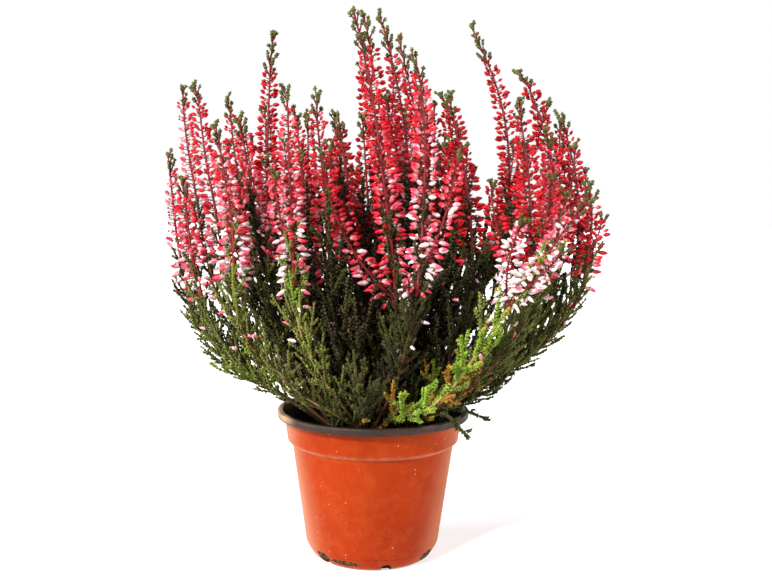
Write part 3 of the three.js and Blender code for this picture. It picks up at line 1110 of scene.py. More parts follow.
@dataclass(frozen=True)
class PotFinish:
    """Terracotta-coloured plastic: satin, mottled, with specks, scuffs and peat, and painted shade and
    highlights.
    """

    name: str = "terracotta plastic"
    colour: Colour = (0.37, 0.035, 0.003)
    deeper: Colour = (0.315, 0.027, 0.002)
    paler: Colour = (0.48, 0.077, 0.013)
    # fine grain, and also the painted shade in the crease above the foot
    grain_and_crease_shade: Colour = (0.19, 0.014, 0.002)
    speck: Colour = (0.8, 0.4, 0.26)
    # the pale line at the collar's step: partly wear, partly a painted highlight
    edge: Colour = (0.72, 0.3, 0.2)
    # a painted sheen: paler colour over the edges that face away, standing in for reflected light
    painted_sheen: Colour = (0.6, 0.25, 0.11)
    dirt: Colour = (0.03, 0.016, 0.009)
    crust: Colour = (0.3, 0.16, 0.07)
    ledge: tuple[float, float] = (65.4, 68.8)  # the heights where the collar's step is paler: partly wear, partly a painted highlight
    crease: tuple[float, float] = (6.6, 8.8)  # the heights where the body turns into the foot, darkened as painted shade
    smears: tuple[tuple[Point, Point], ...] = (  # the middle and the reach of each
        ((-26.0, -24.0, 5.5), (7.0, 6.0, 4.4)),
        ((-15.0, -33.0, 4.6), (13.0, 7.0, 2.0)),
        ((30.5, -18.0, 4.5), (5.5, 8.0, 4.8)),
        ((8.0, -33.0, 2.0), (4.2, 5.0, 3.2)),
        ((-49.0, -10.0, 65.0), (3.0, 3.0, 2.4)),
    )

    def make(self) -> bpy.types.Material:
        """Builds the material, one layer over the other: wear and tone, painted shade, a painted highlight
        and sheen.

        Returns:
            The material.
        """
        look = Surface(self.name)
        broad = look.use(EFFECTS.mottle, Scale=22.0, Low=0.38, High=0.66)["Mask"]
        fine = look.use(EFFECTS.mottle, Scale=150.0, Low=0.4, High=0.75)["Mask"]
        facing_away = look.add("LayerWeight", {"Blend": 0.5}).outputs["Facing"]
        layers = (
            (fine, 0.3, self.paler),
            (look.use(EFFECTS.mottle, Scale=900.0, Low=0.42, High=0.62)["Mask"], 0.22, self.grain_and_crease_shade),
            # a pale line at the collar's step: partly wear, partly a painted highlight
            (look.times(self._band(look, *self.ledge), look.math("ADD", fine, 0.5)), 0.3, self.edge),
            # painted shade: a dark line where the body turns into the foot
            (self._band(look, *self.crease), 0.4, self.grain_and_crease_shade),
            (look.use(EFFECTS.specks, Scale=430.0, Size=0.17, Share=0.05)["Mask"], 0.6, self.speck),
            (look.use(EFFECTS.specks, Scale=390.0, Size=0.2, Share=0.07)["Mask"], 0.7, self.dirt),
            # painted sheen: the edges that face away are lightened
            (look.step(facing_away, 0.38, 1.0), 0.6, self.painted_sheen),
        )
        plastic = look.blend(broad, self.colour, self.deeper)
        for mask, share, colour in layers:
            plastic = look.blend(look.times(mask, share), plastic, colour)
        soiled = self._soiled(look)
        crumbly = look.use(EFFECTS.mottle, Scale=900.0, Low=0.45, High=0.6)["Mask"]
        dirt = look.blend(look.times(crumbly, 0.45), self.dirt, self.crust)
        colour = look.blend(soiled, plastic, dirt)
        roughness = look.math("MAXIMUM", look.between(broad, 0.28, 0.38), look.times(soiled, 0.9))
        return look.finish(colour, roughness, specular=0.07, relief=fine, depth=0.0002, strength=0.25)

    @staticmethod
    def _band(look: Surface, low: float, high: float) -> bpy.types.NodeSocket:
        """A soft mask of the heights from low to high.

        Args:
            look: The material's graph.
            low: The lowest height.
            high: The highest height.

        Returns:
            The mask, 1 halfway up.
        """
        height = look.add("SeparateXYZ", {0: look.add("TexCoord").outputs["Object"]}).outputs["Z"]
        middle = (low + high) / 2 * MM
        return look.times(look.step(height, low * MM, middle), look.step(height, high * MM, middle))

    def _soiled(self, look: Surface) -> bpy.types.NodeSocket:
        """A mask of the peat on the pot: ragged smears at the foot and in the notches.

        Args:
            look: The material's graph.

        Returns:
            The mask.
        """
        place = look.add("TexCoord").outputs["Object"]
        ragged = look.add("TexNoise", {"Vector": place, "Scale": 260.0, "Detail": 8.0}).outputs["Fac"]
        total = look.times(ragged, 0)
        for smear in self.smears:
            middle, reach = (tuple(value * MM for value in point) for point in smear)
            offset = look.add("VectorMath", {0: place, 1: middle}, operation="SUBTRACT").outputs["Vector"]
            scaled = look.add("VectorMath", {0: offset, 1: reach}, operation="DIVIDE").outputs["Vector"]
            away = look.add("VectorMath", {0: scaled}, operation="LENGTH").outputs["Value"]
            total = look.math("MAXIMUM", total, look.step(away, 1.25, 0.35))
        return look.step(look.math("ADD", look.times(total, 0.7), ragged), 0.8, 0.92)


@dataclass(frozen=True)
class LipFinish:
    """The pot's dark inner layer, which shows inside and rolled over the lip, with a painted highlight at -X
    and painted shade inside.
    """

    name: str = "dark inner plastic"
    colour: Colour = (0.026, 0.014, 0.009)
    worn: Colour = (0.12, 0.066, 0.043)
    painted_highlight: Colour = (0.5, 0.33, 0.18)
    # near black: painted shade on the lip's inner edge and down the inside wall
    inside: Colour = (0.008, 0.006, 0.005)

    def make(self) -> bpy.types.Material:
        """Builds the material.

        Returns:
            The material.
        """
        look = Surface(self.name)
        broad = look.use(EFFECTS.mottle, Scale=30.0, Low=0.35, High=0.7)["Mask"]
        fine = look.use(EFFECTS.mottle, Scale=420.0, Low=0.45, High=0.7)["Mask"]
        share = look.times(broad, look.math("ADD", fine, 0.4))
        colour = look.blend(look.times(share, 0.7), self.colour, self.worn)
        place = look.add("SeparateXYZ", {0: look.add("TexCoord").outputs["Object"]}).outputs
        # a painted highlight: the lip's outer face is pale at -X
        aside = look.step(place["X"], -41 * MM, -50 * MM)
        high = look.step(place["Z"], 80.5 * MM, 83.5 * MM)
        colour = look.blend(look.times(look.times(aside, high), 0.85), colour, self.painted_highlight)
        # painted shade: near black at the lip's inner edge and all down the inside, except at -X
        squares = [look.times(place[axis], place[axis]) for axis in "XY"]
        radius = look.math("SQRT", look.math("ADD", *squares))
        inner = look.times(look.step(radius, 54 * MM, 53 * MM), look.math("SUBTRACT", 1.0, aside))
        colour = look.blend(look.times(inner, 0.85), colour, self.inside)
        roughness = look.between(fine, 0.42, 0.6)
        return look.finish(colour, roughness, specular=0.25, relief=fine, depth=0.0002, strength=0.3)


@dataclass(frozen=True)
class PeatFinish:
    """Moist dark peat with brown fibres and a few pale grains."""

    name: str = "peat"
    moist: Colour = (0.012, 0.008, 0.006)
    drier: Colour = (0.032, 0.018, 0.011)
    fibre: Colour = (0.055, 0.03, 0.017)
    grain: Colour = (0.2, 0.11, 0.06)

    def make(self) -> bpy.types.Material:
        """Builds the material.

        Returns:
            The material.
        """
        look = Surface(self.name)
        broad = look.use(EFFECTS.mottle, Scale=60.0, Low=0.35, High=0.7)["Mask"]
        fine = look.use(EFFECTS.mottle, Scale=600.0, Low=0.4, High=0.65)["Mask"]
        grains = look.use(EFFECTS.specks, Scale=420.0, Size=0.3, Share=0.05)["Mask"]
        colour = look.blend(broad, self.moist, self.drier)
        colour = look.blend(look.times(fine, 0.6), colour, self.fibre)
        colour = look.blend(grains, colour, self.grain)
        return look.finish(colour, 0.85, specular=0.25, relief=fine, depth=0.0008, strength=0.8)


@dataclass(frozen=True)
class FloorFinish:
    """A plain pale studio floor."""

    name: str = "pale floor"
    colour: Colour = (0.92, 0.92, 0.92)
    cloudy: Colour = (0.9, 0.9, 0.9)
    white: tuple[float, ...] = (1, 1, 1, 1)
    lift: float = 0.6

    def make(self) -> bpy.types.Material:
        """Builds the material, which glows a little where the camera sees it.

        Returns:
            The material.
        """
        look = Surface(self.name)
        cloud = look.use(EFFECTS.mottle, Scale=3.0, Low=0.3, High=0.7)["Mask"]
        colour = look.blend(look.times(cloud, 0.1), self.colour, self.cloudy)
        glow = look.times(look.add("LightPath").outputs["Is Camera Ray"], self.lift)
        look.fill(look.shader, {"Base Color": colour, "Roughness": 0.8})
        look.fill(look.shader, {"Emission Color": self.white, "Emission Strength": glow})
        return look.material


# ---- the pot


@dataclass
class GrowerPot:
    """The thin two-tone plastic pot with its stepped collar, turned-out lip and six drain notches."""

    height: float = 85.0
    rim_radius: float = 55.0
    lip_width: float = 3.4
    lip_drop: float = 4.1
    lip_round: float = 0.9
    collar_top_radius: float = 50.9
    collar_foot_radius: float = 49.1
    collar_foot: float = 68.2
    body_top_radius: float = 46.3
    body_top: float = 65.6
    corner_radius: float = 38.0
    corner: float = 8.5
    foot_radius: float = 30.0
    foot_round: float = 6.0
    wall: float = 1.2
    groove_inner: float = 17.0
    groove_outer: float = 27.0
    groove_depth: float = 2.0
    groove_slope: float = 1.5
    notches: int = 6
    notch_radius: float = 3.0
    notch_turn: float = 14.0
    notch_height: float = 1.4
    notch_reach: float = 34.5
    notch_length: float = 11.0
    smooth_below: float = 32.0
    sides: int = 96

    def blocks(self, points: Array, room: float) -> bool:
        """Whether a line would pass through the pot or its peat.

        Args:
            points: The line's points.
            room: How much room it needs round it.

        Returns:
            True where some point is too near.
        """
        radius, height = np.hypot(points[:, 0], points[:, 1]), points[:, 2]
        over_rim = height > self.height + room
        outside = radius > self.rim_radius + room
        inside = (radius < self.body_top_radius - room) & (height > self.collar_foot - 2 + room)
        return not bool(np.all(over_rim | outside | inside))

    def _profile(self) -> list[tuple[float, float]]:
        """The section, up the outside from the underside's middle, over the lip and down to the floor.

        Returns:
            Pairs of radius and height.
        """
        wall, lip_foot = self.wall, self.height - self.lip_drop
        turn = self.lip_round
        step = (self.collar_foot_radius - self.body_top_radius) / 2
        outer = [
            (self.groove_inner, 0),
            (self.groove_inner + self.groove_slope, self.groove_depth),
            (self.groove_outer - self.groove_slope, self.groove_depth),
            (self.groove_outer, 0),
            (self.foot_radius, 0),
            *self._arc(self.foot_radius, self.foot_round, self.foot_round, -90, -25, 5)[1:],
            (self.corner_radius - 0.35, self.corner - 1.2),
            (self.corner_radius - 0.1, self.corner - 0.2),
            (self.corner_radius + 0.3, self.corner + 0.4),
            (self.body_top_radius - 0.15, self.body_top - 1.2),
            (self.body_top_radius, self.body_top),
            (self.body_top_radius + step, self.body_top + 0.7 * step),
            (self.collar_foot_radius - 0.2, self.collar_foot - 0.5),
            (self.collar_foot_radius, self.collar_foot),
            (self.collar_foot_radius + 0.1, self.collar_foot + 1),
            (self.collar_top_radius - 0.1, lip_foot - 0.8),
            (self.collar_top_radius + 0.2, lip_foot - 0.2),
            (self.collar_top_radius + 0.9, lip_foot),
        ]
        lip = [
            (self.rim_radius - turn, lip_foot),
            *self._arc(self.rim_radius - turn, lip_foot + turn, turn, -60, 0, 2),
            *self._arc(self.rim_radius - turn, self.height - turn, turn, 0, 90, 4),
            *self._arc(self.rim_radius - self.lip_width + turn, self.height - turn, turn, 100, 180, 4),
        ]
        inner = [
            (self.collar_foot_radius - wall + 0.4, self.collar_foot + 2.4),
            (self.collar_foot_radius - wall, self.collar_foot + 0.6),
            (self.body_top_radius - wall + 0.2, self.body_top + 0.3),
            (self.body_top_radius - wall, self.body_top - 1),
            (self.corner_radius - wall, self.corner + 0.3),
            (self.foot_radius - 0.4, self.groove_depth + wall),
            (self.groove_inner, self.groove_depth + wall),
        ]
        return outer + lip + inner

    @staticmethod
    def _arc(
        radius: float, height: float, turn: float, first: float, last: float, steps: int
    ) -> list[tuple[float, float]]:
        """A rounded edge round a centre, with the angles in degrees, 0 outwards and 90 up."""
        angles = np.radians(np.linspace(first, last, steps + 1))
        return [(radius + turn * math.cos(a), height + turn * math.sin(a)) for a in angles]

    def _cut_notches(self, pot: bpy.types.Object) -> None:
        """Cuts the drain notches through the foot.

        Args:
            pot: The pot.
        """
        cutters = []
        for number in range(self.notches):
            azimuth = math.radians(-90 + self.notch_turn + 360 / self.notches * number)
            deselect()
            bpy.ops.mesh.primitive_cylinder_add(
                vertices=24,
                radius=self.notch_radius,
                depth=self.notch_length,
                location=self.notch_reach * leaning(azimuth, 0) + UP * self.notch_height,
                rotation=(0, math.pi / 2, azimuth),
            )
            cutters.append(bpy.context.active_object)
        pick(cutters[0])
        for cutter in cutters:
            cutter.select_set(True)
        bpy.ops.object.join()
        cutter = bpy.context.active_object
        pick(pot)
        cut = pot.modifiers.new("notches", "BOOLEAN")
        cut.operation, cut.solver, cut.object = "DIFFERENCE", "EXACT", cutter
        bpy.ops.object.modifier_apply(modifier=cut.name)
        bpy.data.objects.remove(cutter)

    def _dress(self, pot: bpy.types.Object) -> None:
        """Gives the outside the terracotta layer, and the lip and the inside the dark one.

        Args:
            pot: The pot.
        """
        pot.data.materials.clear()
        pot.data.materials.append(PotFinish().make())
        pot.data.materials.append(LipFinish().make())
        lip_foot = self.height - self.lip_drop
        for face in pot.data.polygons:
            x, y, z = face.center
            radius = math.hypot(x, y)
            outward = (face.normal.x * x + face.normal.y * y) / max(radius, 1)
            is_lip = z > lip_foot - 0.05 and radius > self.collar_top_radius + 0.5
            is_inside = outward < -0.2 and z > self.groove_depth + 0.5 or z > self.height - 1
            is_floor = radius < self.foot_radius and z > self.groove_depth + 0.5
            face.material_index = int(is_lip or is_inside or is_floor)

    def build(self) -> bpy.types.Object:
        """Builds the pot.

        Returns:
            The new piece.
        """
        pot = turn_profile(self._profile(), self.sides)
        pot.name = pot.data.name = "grower_pot"
        self._cut_notches(pot)
        self._dress(pot)
        pick(pot)
        bpy.ops.object.shade_smooth_by_angle(angle=math.radians(self.smooth_below))
        pot.data.transform(Matrix.Scale(MM, 4))
        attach(pot, "root")
        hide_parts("pot")
        return pot


# ---- the peat


@dataclass
class Peat:
    """The root ball and its uneven surface, with loose crumbs."""

    pot: GrowerPot
    gap: float = 0.35
    top: float = 63.5
    mound: float = 3.2
    sides: int = 72
    rings: int = 22
    crumbs: int = 400
    seed: int = 5

    @property
    def radius(self) -> float:
        """The radius of the surface."""
        return self.pot.body_top_radius - self.pot.wall - self.gap - 0.5

    def surface(self, x: float, y: float) -> float:
        """The surface's height at a place.

        Args:
            x: How far the place is from the axis to +X.
            y: How far it is to +Y.

        Returns:
            The height.
        """
        share = math.hypot(x, y) / self.radius
        rise = self.mound * max(0.0, 1 - share * share)
        coarse = noise.noise(Vector((x, y, 0)) / 7)
        fine = noise.noise(Vector((x, y, 40)) / 2.2)
        return self.top + rise + (0.9 * coarse + 0.5 * fine) * min(1.0, 6 * (1 - share))

    def build(self) -> bpy.types.Object:
        """Builds the root ball with its crumbs as one piece.

        Returns:
            The new piece.
        """
        floor = self.pot.groove_depth + self.pot.wall + self.gap
        radii = np.linspace(self.radius, 0.5, self.rings)
        profile = [
            (20, floor),
            (self.pot.foot_radius - 0.8, floor),
            (self.pot.corner_radius - self.pot.wall - self.gap, self.pot.corner + 0.7),
            (self.radius, self.top - 0.6),
            *[(float(radius), self.top) for radius in radii],
        ]
        ball = turn_profile(profile, self.sides)
        ball.name = ball.data.name = "peat_ball"
        for vertex in ball.data.vertices:
            if vertex.co.z > self.top - 0.1:
                vertex.co.z = self.surface(vertex.co.x, vertex.co.y)
        ball.data.transform(Matrix.Scale(MM, 4))
        ball.data.materials.clear()
        ball.data.materials.append(PeatFinish().make())
        pick(ball)
        bpy.ops.object.shade_smooth()
        self._scatter(ball)
        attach(ball, "root")
        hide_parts("soil")
        return ball

    def _scatter(self, ball: bpy.types.Object) -> None:
        """Adds the loose crumbs to the surface.

        Args:
            ball: The root ball.
        """
        rng = np.random.default_rng(self.seed)
        stamp = model_crumb()
        radius = self.radius * np.sqrt(rng.uniform(0, 0.96, self.crumbs))
        angle = rng.uniform(0, 2 * math.pi, self.crumbs)
        size = 0.35 + 1.1 * rng.uniform(0, 1, self.crumbs) ** 3
        points, faces = [], []
        for number in range(self.crumbs):
            x, y = radius[number] * math.cos(angle[number]), radius[number] * math.sin(angle[number])
            turn = np.array(Matrix.Rotation(rng.uniform(0, 6.3), 3, Vector(rng.normal(size=3))))
            shape = stamp.points * (size[number] * rng.uniform(0.7, 1.5, 3)) @ turn.T
            points.append(shape + (x, y, self.surface(x, y) + 0.3 * size[number]))
            faces.append(stamp.faces + number * len(stamp.points))
        mesh = bpy.data.meshes.new("crumbs")
        mesh.from_pydata(np.concatenate(points) * MM, [], np.concatenate(faces))
        mesh.materials.append(ball.data.materials[0])
        crumbs = bpy.data.objects.new("crumbs", mesh)
        link(crumbs)
        pick(ball)
        crumbs.select_set(True)
        bpy.ops.object.join()


# ---- leafy growth


@dataclass(frozen=True)
class Leafing:
    """How densely leaves stand on a twig, and how large they are."""

    spacing: float = 1.0
    length: float = 2.5
    half_width: float = 0.95
    spread: float = 34.0
    tip_share: float = 0.9


USUAL = Leafing()
SMALL = Leafing(length=2.2, half_width=0.9)
SLIM = Leafing(spacing=0.97, length=2.3, half_width=0.9, spread=32)
DEEP = Leafing(spacing=2.0, length=4.0, half_width=1.4, spread=38)
PLUMP = Leafing(spacing=0.95, length=3.0, half_width=1.15, spread=42, tip_share=1)
SPARSE = Leafing(spacing=1.6, spread=36)
KNOT = Leafing(spacing=0.75, length=2.6, half_width=1.45, tip_share=0.75)
BRACTS = Leafing(spacing=3.2, length=2.4, half_width=0.6, spread=30)


@dataclass(frozen=True)
class TwigWood:
    """A twig's own wood: its points, its radius at the foot and its bark's tint."""

    points: Array
    radius: float
    tint: float


@dataclass(frozen=True)
class Look:
    """The tints of a shoot's leaves and of its bark."""

    leaves: float
    wood: float


class Growth:
    """Gathers leafy lines for one piece, then skins them."""

    SHOOT_STEPS = 3
    TWIG_STEPS = 1
    BARE, TWIGGED = 0.12, 0.72  # the shares of a shoot, from its foot, without twigs and then with them
    TWIG_SPACING, SLIM_TWIG_SPACING = 6, 5
    TWIG_RADIUS = 0.26
    RISE = 0.55  # how far a shoot turns upwards

    def __init__(self, seed: int, box: Box, pot: GrowerPot) -> None:
        """Starts with nothing grown.

        Args:
            seed: The seed of its random draws.
            box: The lowest and highest corner that growth stays inside.
            pot: The pot that growth keeps clear of.
        """
        self.rng = np.random.default_rng(seed)
        self.box = box
        self.pot = pot
        self.leaves = Copies()
        self.twigs: list[TwigWood] = []

    def fits(self, points: Array, room: float = 1.5) -> bool:
        """Whether a twig's points stay in the box and clear of the pot.

        Args:
            points: The points.
            room: How much room they need round them.

        Returns:
            True where they do.
        """
        low, high = self.box
        inside = bool(np.all(points > low + 2 * room) and np.all(points < high - 2 * room))
        return inside and not self.pot.blocks(points, room)

    def leaf_out(self, line: Line, tint: float, leafing: Leafing, start: float = 0.0) -> None:
        """Sets pairs of leaves along a line, each pair square to the one before.

        Args:
            line: The line.
            tint: The leaves' tint.
            leafing: How the leaves stand.
            start: How far along the line the first pair stands.
        """
        rng = self.rng
        pairs = max(2, int((line.length - start) / leafing.spacing))
        distances = np.repeat(start + (np.arange(pairs) + rng.uniform(0.2, 0.8)) * leafing.spacing, 2)
        distances = np.minimum(distances, line.length)
        roots, along = line.at(distances)
        number = len(roots)
        turn = np.repeat(np.arange(pairs) * math.pi / 2, 2) + np.tile((0, math.pi), pairs)
        turn = turn + rng.uniform(0, math.pi) + rng.normal(0, 0.2, number)
        hint = EAST if abs(along[0, 2]) > 0.8 else UP
        out = turned(square_to(along, hint), along, turn)
        share = distances / line.length
        spread = np.radians(leafing.spread * (1 - 0.3 * share) + rng.normal(0, 6, number))[:, None]
        direction = along * np.cos(spread) + out * np.sin(spread)
        side = np.cross(direction, out)
        size = (1 - (1 - leafing.tip_share) * share**2) * rng.uniform(0.78, 1.2, number)
        tints = np.clip(tint + 0.05 * (share - 0.4) + rng.normal(0, 0.045, number), 0, 1)
        self.leaves.add(
            roots, direction, unit(side), leafing.length * size, leafing.half_width * size, tints
        )

    def round_about(self, line: Line, distances: Array) -> list[tuple[Array, Array, Array]]:
        """Where shoots leave a line, each turned on by the golden angle from the one before.

        Args:
            line: The line.
            distances: How far along it they leave.

        Returns:
            For each, its root, the line's direction there and the unit direction away from the line.
        """
        places, directions = line.at(distances)
        turns = self.rng.uniform(0, 6) + np.arange(len(distances)) * GOLDEN_ANGLE
        return list(zip(places, directions, turned(square_to(directions, EAST), directions, turns)))

    def twig(
        self, root: Array, along: Array, across: Array, length: float, spread: float, steps: int
    ) -> Line | None:
        """A twig that leaves a stem and bends upwards, or None where it has no room.

        Args:
            root: Where it leaves the stem.
            along: The stem's unit direction there.
            across: The unit direction away from the stem.
            length: The length that it would like.
            spread: Its angle to the stem, in degrees.
            steps: How many straight steps it has.

        Returns:
            The twig's line.
        """
        slant = math.radians(spread)
        for turn in (0.0, 0.5, -0.5, 1.0, -1.0, 1.6, -1.6):
            aside = turned(across[None], along[None], np.array([turn]))[0]
            first = along * math.cos(slant) + aside * math.sin(slant)
            last = unit(first + self.RISE * UP)
            for share in (1.0, 0.7, 0.45):
                half = length * share / 2
                line = bezier([root, root + first * half, root + first * half + last * half], steps)
                if self.fits(line.points[1:]):
                    return line
        return None

    def keep(self, line: Line, radius: float, tint: float) -> None:
        """Keeps a twig's own wood, to be skinned with the others."""
        self.twigs.append(TwigWood(line.points, radius, tint))

    def branch(
        self,
        root: Array,
        along: Array,
        across: Array,
        length: float,
        spread: float,
        look: Look,
        leafing: Leafing = USUAL,
    ) -> None:
        """Grows a side shoot with its own smaller twigs and their leaves.

        Args:
            root: Where it leaves the stem.
            along: The stem's unit direction there.
            across: The unit direction away from the stem.
            length: The length that it would like.
            spread: Its angle to the stem, in degrees.
            look: The tints of its leaves and bark.
            leafing: How its leaves stand.
        """
        rng = self.rng
        line = self.twig(root, along, across, length, spread, self.SHOOT_STEPS)
        if line is None:
            return
        self.keep(line, self.TWIG_RADIUS + 0.006 * line.length, look.wood)
        self.leaf_out(line, look.leaves, leafing, start=0.8)
        spacing = self.SLIM_TWIG_SPACING if leafing is SLIM else self.TWIG_SPACING
        count = int(line.length * self.TWIGGED / spacing)
        if count < 1 or line.length < 9:
            return
        shares = (np.arange(count) + rng.uniform(0.2, 0.8, count)) / count
        distances = line.length * (self.BARE + self.TWIGGED * shares)
        places, directions = line.at(distances)
        flat = square_to(directions, np.cross(directions, UP) + 1e-3)
        for number in range(count):
            side = flat[number] * (1 if number % 2 else -1)
            side = turned(side[None], directions[None, number], rng.normal(0, 0.6, 1))[0]
            reach = (line.length - distances[number]) * rng.uniform(0.2, 0.42) + 2.5
            spread = rng.uniform(26, 42)
            twig = self.twig(places[number], directions[number], side, reach, spread, self.TWIG_STEPS)
            if twig is not None:
                self.keep(twig, self.TWIG_RADIUS, look.wood)
                kind = SMALL if leafing is USUAL else leafing
                self.leaf_out(twig, look.leaves + rng.normal(0, 0.03), kind)

    def skin(self, skin: Skin, leaf: Stamp) -> None:
        """Adds all that has grown to a skin.

        Args:
            skin: The skin.
            leaf: The leaf to copy.
        """
        skin.add_copies(leaf, self.leaves, Part.LEAF)
        for size in sorted({len(twig.points) for twig in self.twigs}):
            twigs = [twig for twig in self.twigs if len(twig.points) == size]
            lines = np.stack([twig.points for twig in twigs])
            radii = np.array([twig.radius for twig in twigs])[:, None]
            tints = np.array([twig.tint for twig in twigs])
            skin.add_tubes(lines, radii * np.linspace(1, 0.45, size)[None], tints, 3, Part.WOOD)


@dataclass
class Heather:
    """One rooted cutting: its trunk, stems, side shoots, twigs and leaves."""

    cutting: Cutting
    pot: GrowerPot
    box: Box
    seed: int
    trunk_foot: float = 56.05
    trunk_radius: float = 2.6
    stem_radius: float = 0.95
    stem_tip_radius: float = 0.42
    shoot_spacing: float = 3.9
    slim_shoot_spacing: float = 2.6
    leafy_spacing: float = 5.0
    leafy_share: float = 0.3
    inner_shoots: int = 5
    inner_reach: float = 72.0
    inner_top: float = 228.0
    inner_fall: float = 0.6
    inner_heart: float = 38.0

    def __post_init__(self) -> None:
        """Starts with nothing grown."""
        self.growth = Growth(self.seed, self.box, self.pot)
        self.crown = PLAN.crown(self.cutting)
        self.leafing = SLIM if self.cutting.slim else USUAL

    def build(self, leaf: Stamp, materials: list[bpy.types.Material]) -> bpy.types.Object:
        """Grows the cutting and makes its piece.

        Args:
            leaf: The leaf to copy.
            materials: The plant's materials, in the order of Part.

        Returns:
            The new piece.
        """
        skin = Skin(self.box)
        self._trunk(skin)
        stems, woods = [], []
        for spike in self.cutting.spikes:
            stems.append(PLAN.to_spike(self.cutting, spike))
            woods.append(spike.wood.value)
            self._flowering(stems[-1], spike)
        for spray in self.cutting.sprays:
            stems.append(PLAN.to_spray(self.cutting, spray))
            woods.append(spray.wood.value)
            self._leafy(stems[-1], spray)
        self._basal()
        self._inner()
        lines = np.stack([stem.points for stem in stems])
        taper = np.linspace(self.stem_radius, self.stem_tip_radius, lines.shape[1])
        skin.add_tubes(lines, np.broadcast_to(taper, lines.shape[:2]), np.array(woods), 6, Part.WOOD)
        self.growth.skin(skin, leaf)
        piece = skin.piece(f"{self.cutting.name}_shoots", materials[:2])
        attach(piece, "root")
        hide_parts(self.cutting.name)
        return piece

    def _trunk(self, skin: Skin) -> None:
        """The short stretch of old wood that stands in the peat.

        Args:
            skin: What it is added to.
        """
        heights = np.linspace(self.trunk_foot, self.crown[2] + 1.5, 6)
        lean = np.sin(np.linspace(0, 2, 6)) * 0.3
        line = np.stack([self.crown[0] + lean, self.crown[1] - lean, heights], axis=-1)
        radii = self.trunk_radius * np.array([[1.0, 0.97, 1.0, 0.95, 0.93, 0.8]])
        skin.add_tubes(line[None], radii, np.array([WoodTint.GREY.value]), 10, Part.WOOD)

    def _flowering(self, stem: Line, spike: Spike) -> None:
        """Leafs a flowering stem, and the foot of its flower spike with short shoots.

        Args:
            stem: The stem.
            spike: The spike that it carries.
        """
        growth, rng = self.growth, self.growth.rng
        is_lime = spike.leaves is LeafTint.LIME
        self._side_shoots(stem, spike, 1.0, PLUMP if spike.stout or is_lime else self.leafing)
        growth.leaf_out(stem, spike.leaves.value, SPARSE, start=0.5 * stem.length)
        raceme = PLAN.raceme(spike)
        leafy, spacing = self.leafy_share * raceme.length, self.leafy_spacing
        if is_lime:
            leafy, spacing = 1.6 * leafy, 0.6 * spacing
        count = int(leafy / spacing)
        distances = leafy * (np.arange(count) + rng.uniform(0, 1, count)) / count
        for place in growth.round_about(raceme, distances):
            look = Look(spike.leaves.value + rng.normal(0, 0.03), spike.wood.value)
            growth.branch(*place, rng.uniform(9, 19), rng.uniform(16, 30), look, self.leafing)

    def _leafy(self, stem: Line, spray: Spray) -> None:
        """Leafs a shoot that doesn't flower. One that hangs over the rim is stout and little branched.

        Args:
            stem: The shoot's stem.
            spray: The shoot.
        """
        hangs = spray.slope < 0
        leafing = PLUMP if hangs or spray.stout or spray.leaves is LeafTint.LIME else self.leafing
        self._side_shoots(stem, spray, 0.2 if hangs else 0.85, leafing)
        sparse = PLUMP if hangs else SPARSE
        self.growth.leaf_out(stem, spray.leaves.value, sparse, start=0.3 * stem.length)
        if hangs:
            return
        tip, direction = stem.at(np.array([stem.length]))
        look = Look(spray.leaves.value, spray.wood.value)
        across = square_to(direction, UP)[0]
        self.growth.branch(tip[0], direction[0], across, 8, 10, look, leafing)

    def _side_shoots(self, stem: Line, shoot: Spike | Spray, usual: float, leafing: Leafing) -> None:
        """Grows a stem's side shoots, longest in its middle.

        Args:
            stem: The stem.
            shoot: What the stem carries, which has its tints.
            usual: The shoots' length, as a share of the usual one.
            leafing: How the leaves stand.
        """
        rng = self.growth.rng
        first = self.cutting.bare_foot * stem.length
        spacing = self.slim_shoot_spacing if leafing is SLIM else self.shoot_spacing
        count = int((stem.length - first) / spacing)
        distances = first + (np.arange(count) + rng.uniform(0.1, 0.9, count)) * spacing
        places, directions = stem.at(distances)
        shares = distances / stem.length
        turns = rng.uniform(0, 6) + np.arange(count) * GOLDEN_ANGLE + rng.normal(0, 0.25, count)
        hint = square_to(directions, np.cross(stem.points[-1] - stem.points[0], UP) + 1e-3)
        across = turned(hint, directions, turns)
        lengths = usual * np.interp(shares, [0.1, 0.35, 0.65, 1], [13, 25, 26, 18])
        lengths = lengths * rng.uniform(0.7, 1.25, count) * np.where(across[:, 2] < -0.3, 0.5, 1.0)
        spreads = np.interp(shares, [0, 0.5, 1], [46, 34, 24]) + rng.normal(0, 5, count)
        dryness = 0.6 if shoot.leaves is LeafTint.LIME else 0.07
        for share, *place in zip(shares, places, directions, across, lengths, spreads):
            tint = shoot.leaves.value + np.interp(share, [0.1, 0.5, 1], [-0.12, 0, 0.03])
            tint = tint + rng.normal(0, 0.06)
            if share < 0.42 and rng.uniform() < dryness:
                tint = LeafTint.DRY.value
            self.growth.branch(*place, Look(tint, shoot.wood.value), leafing)

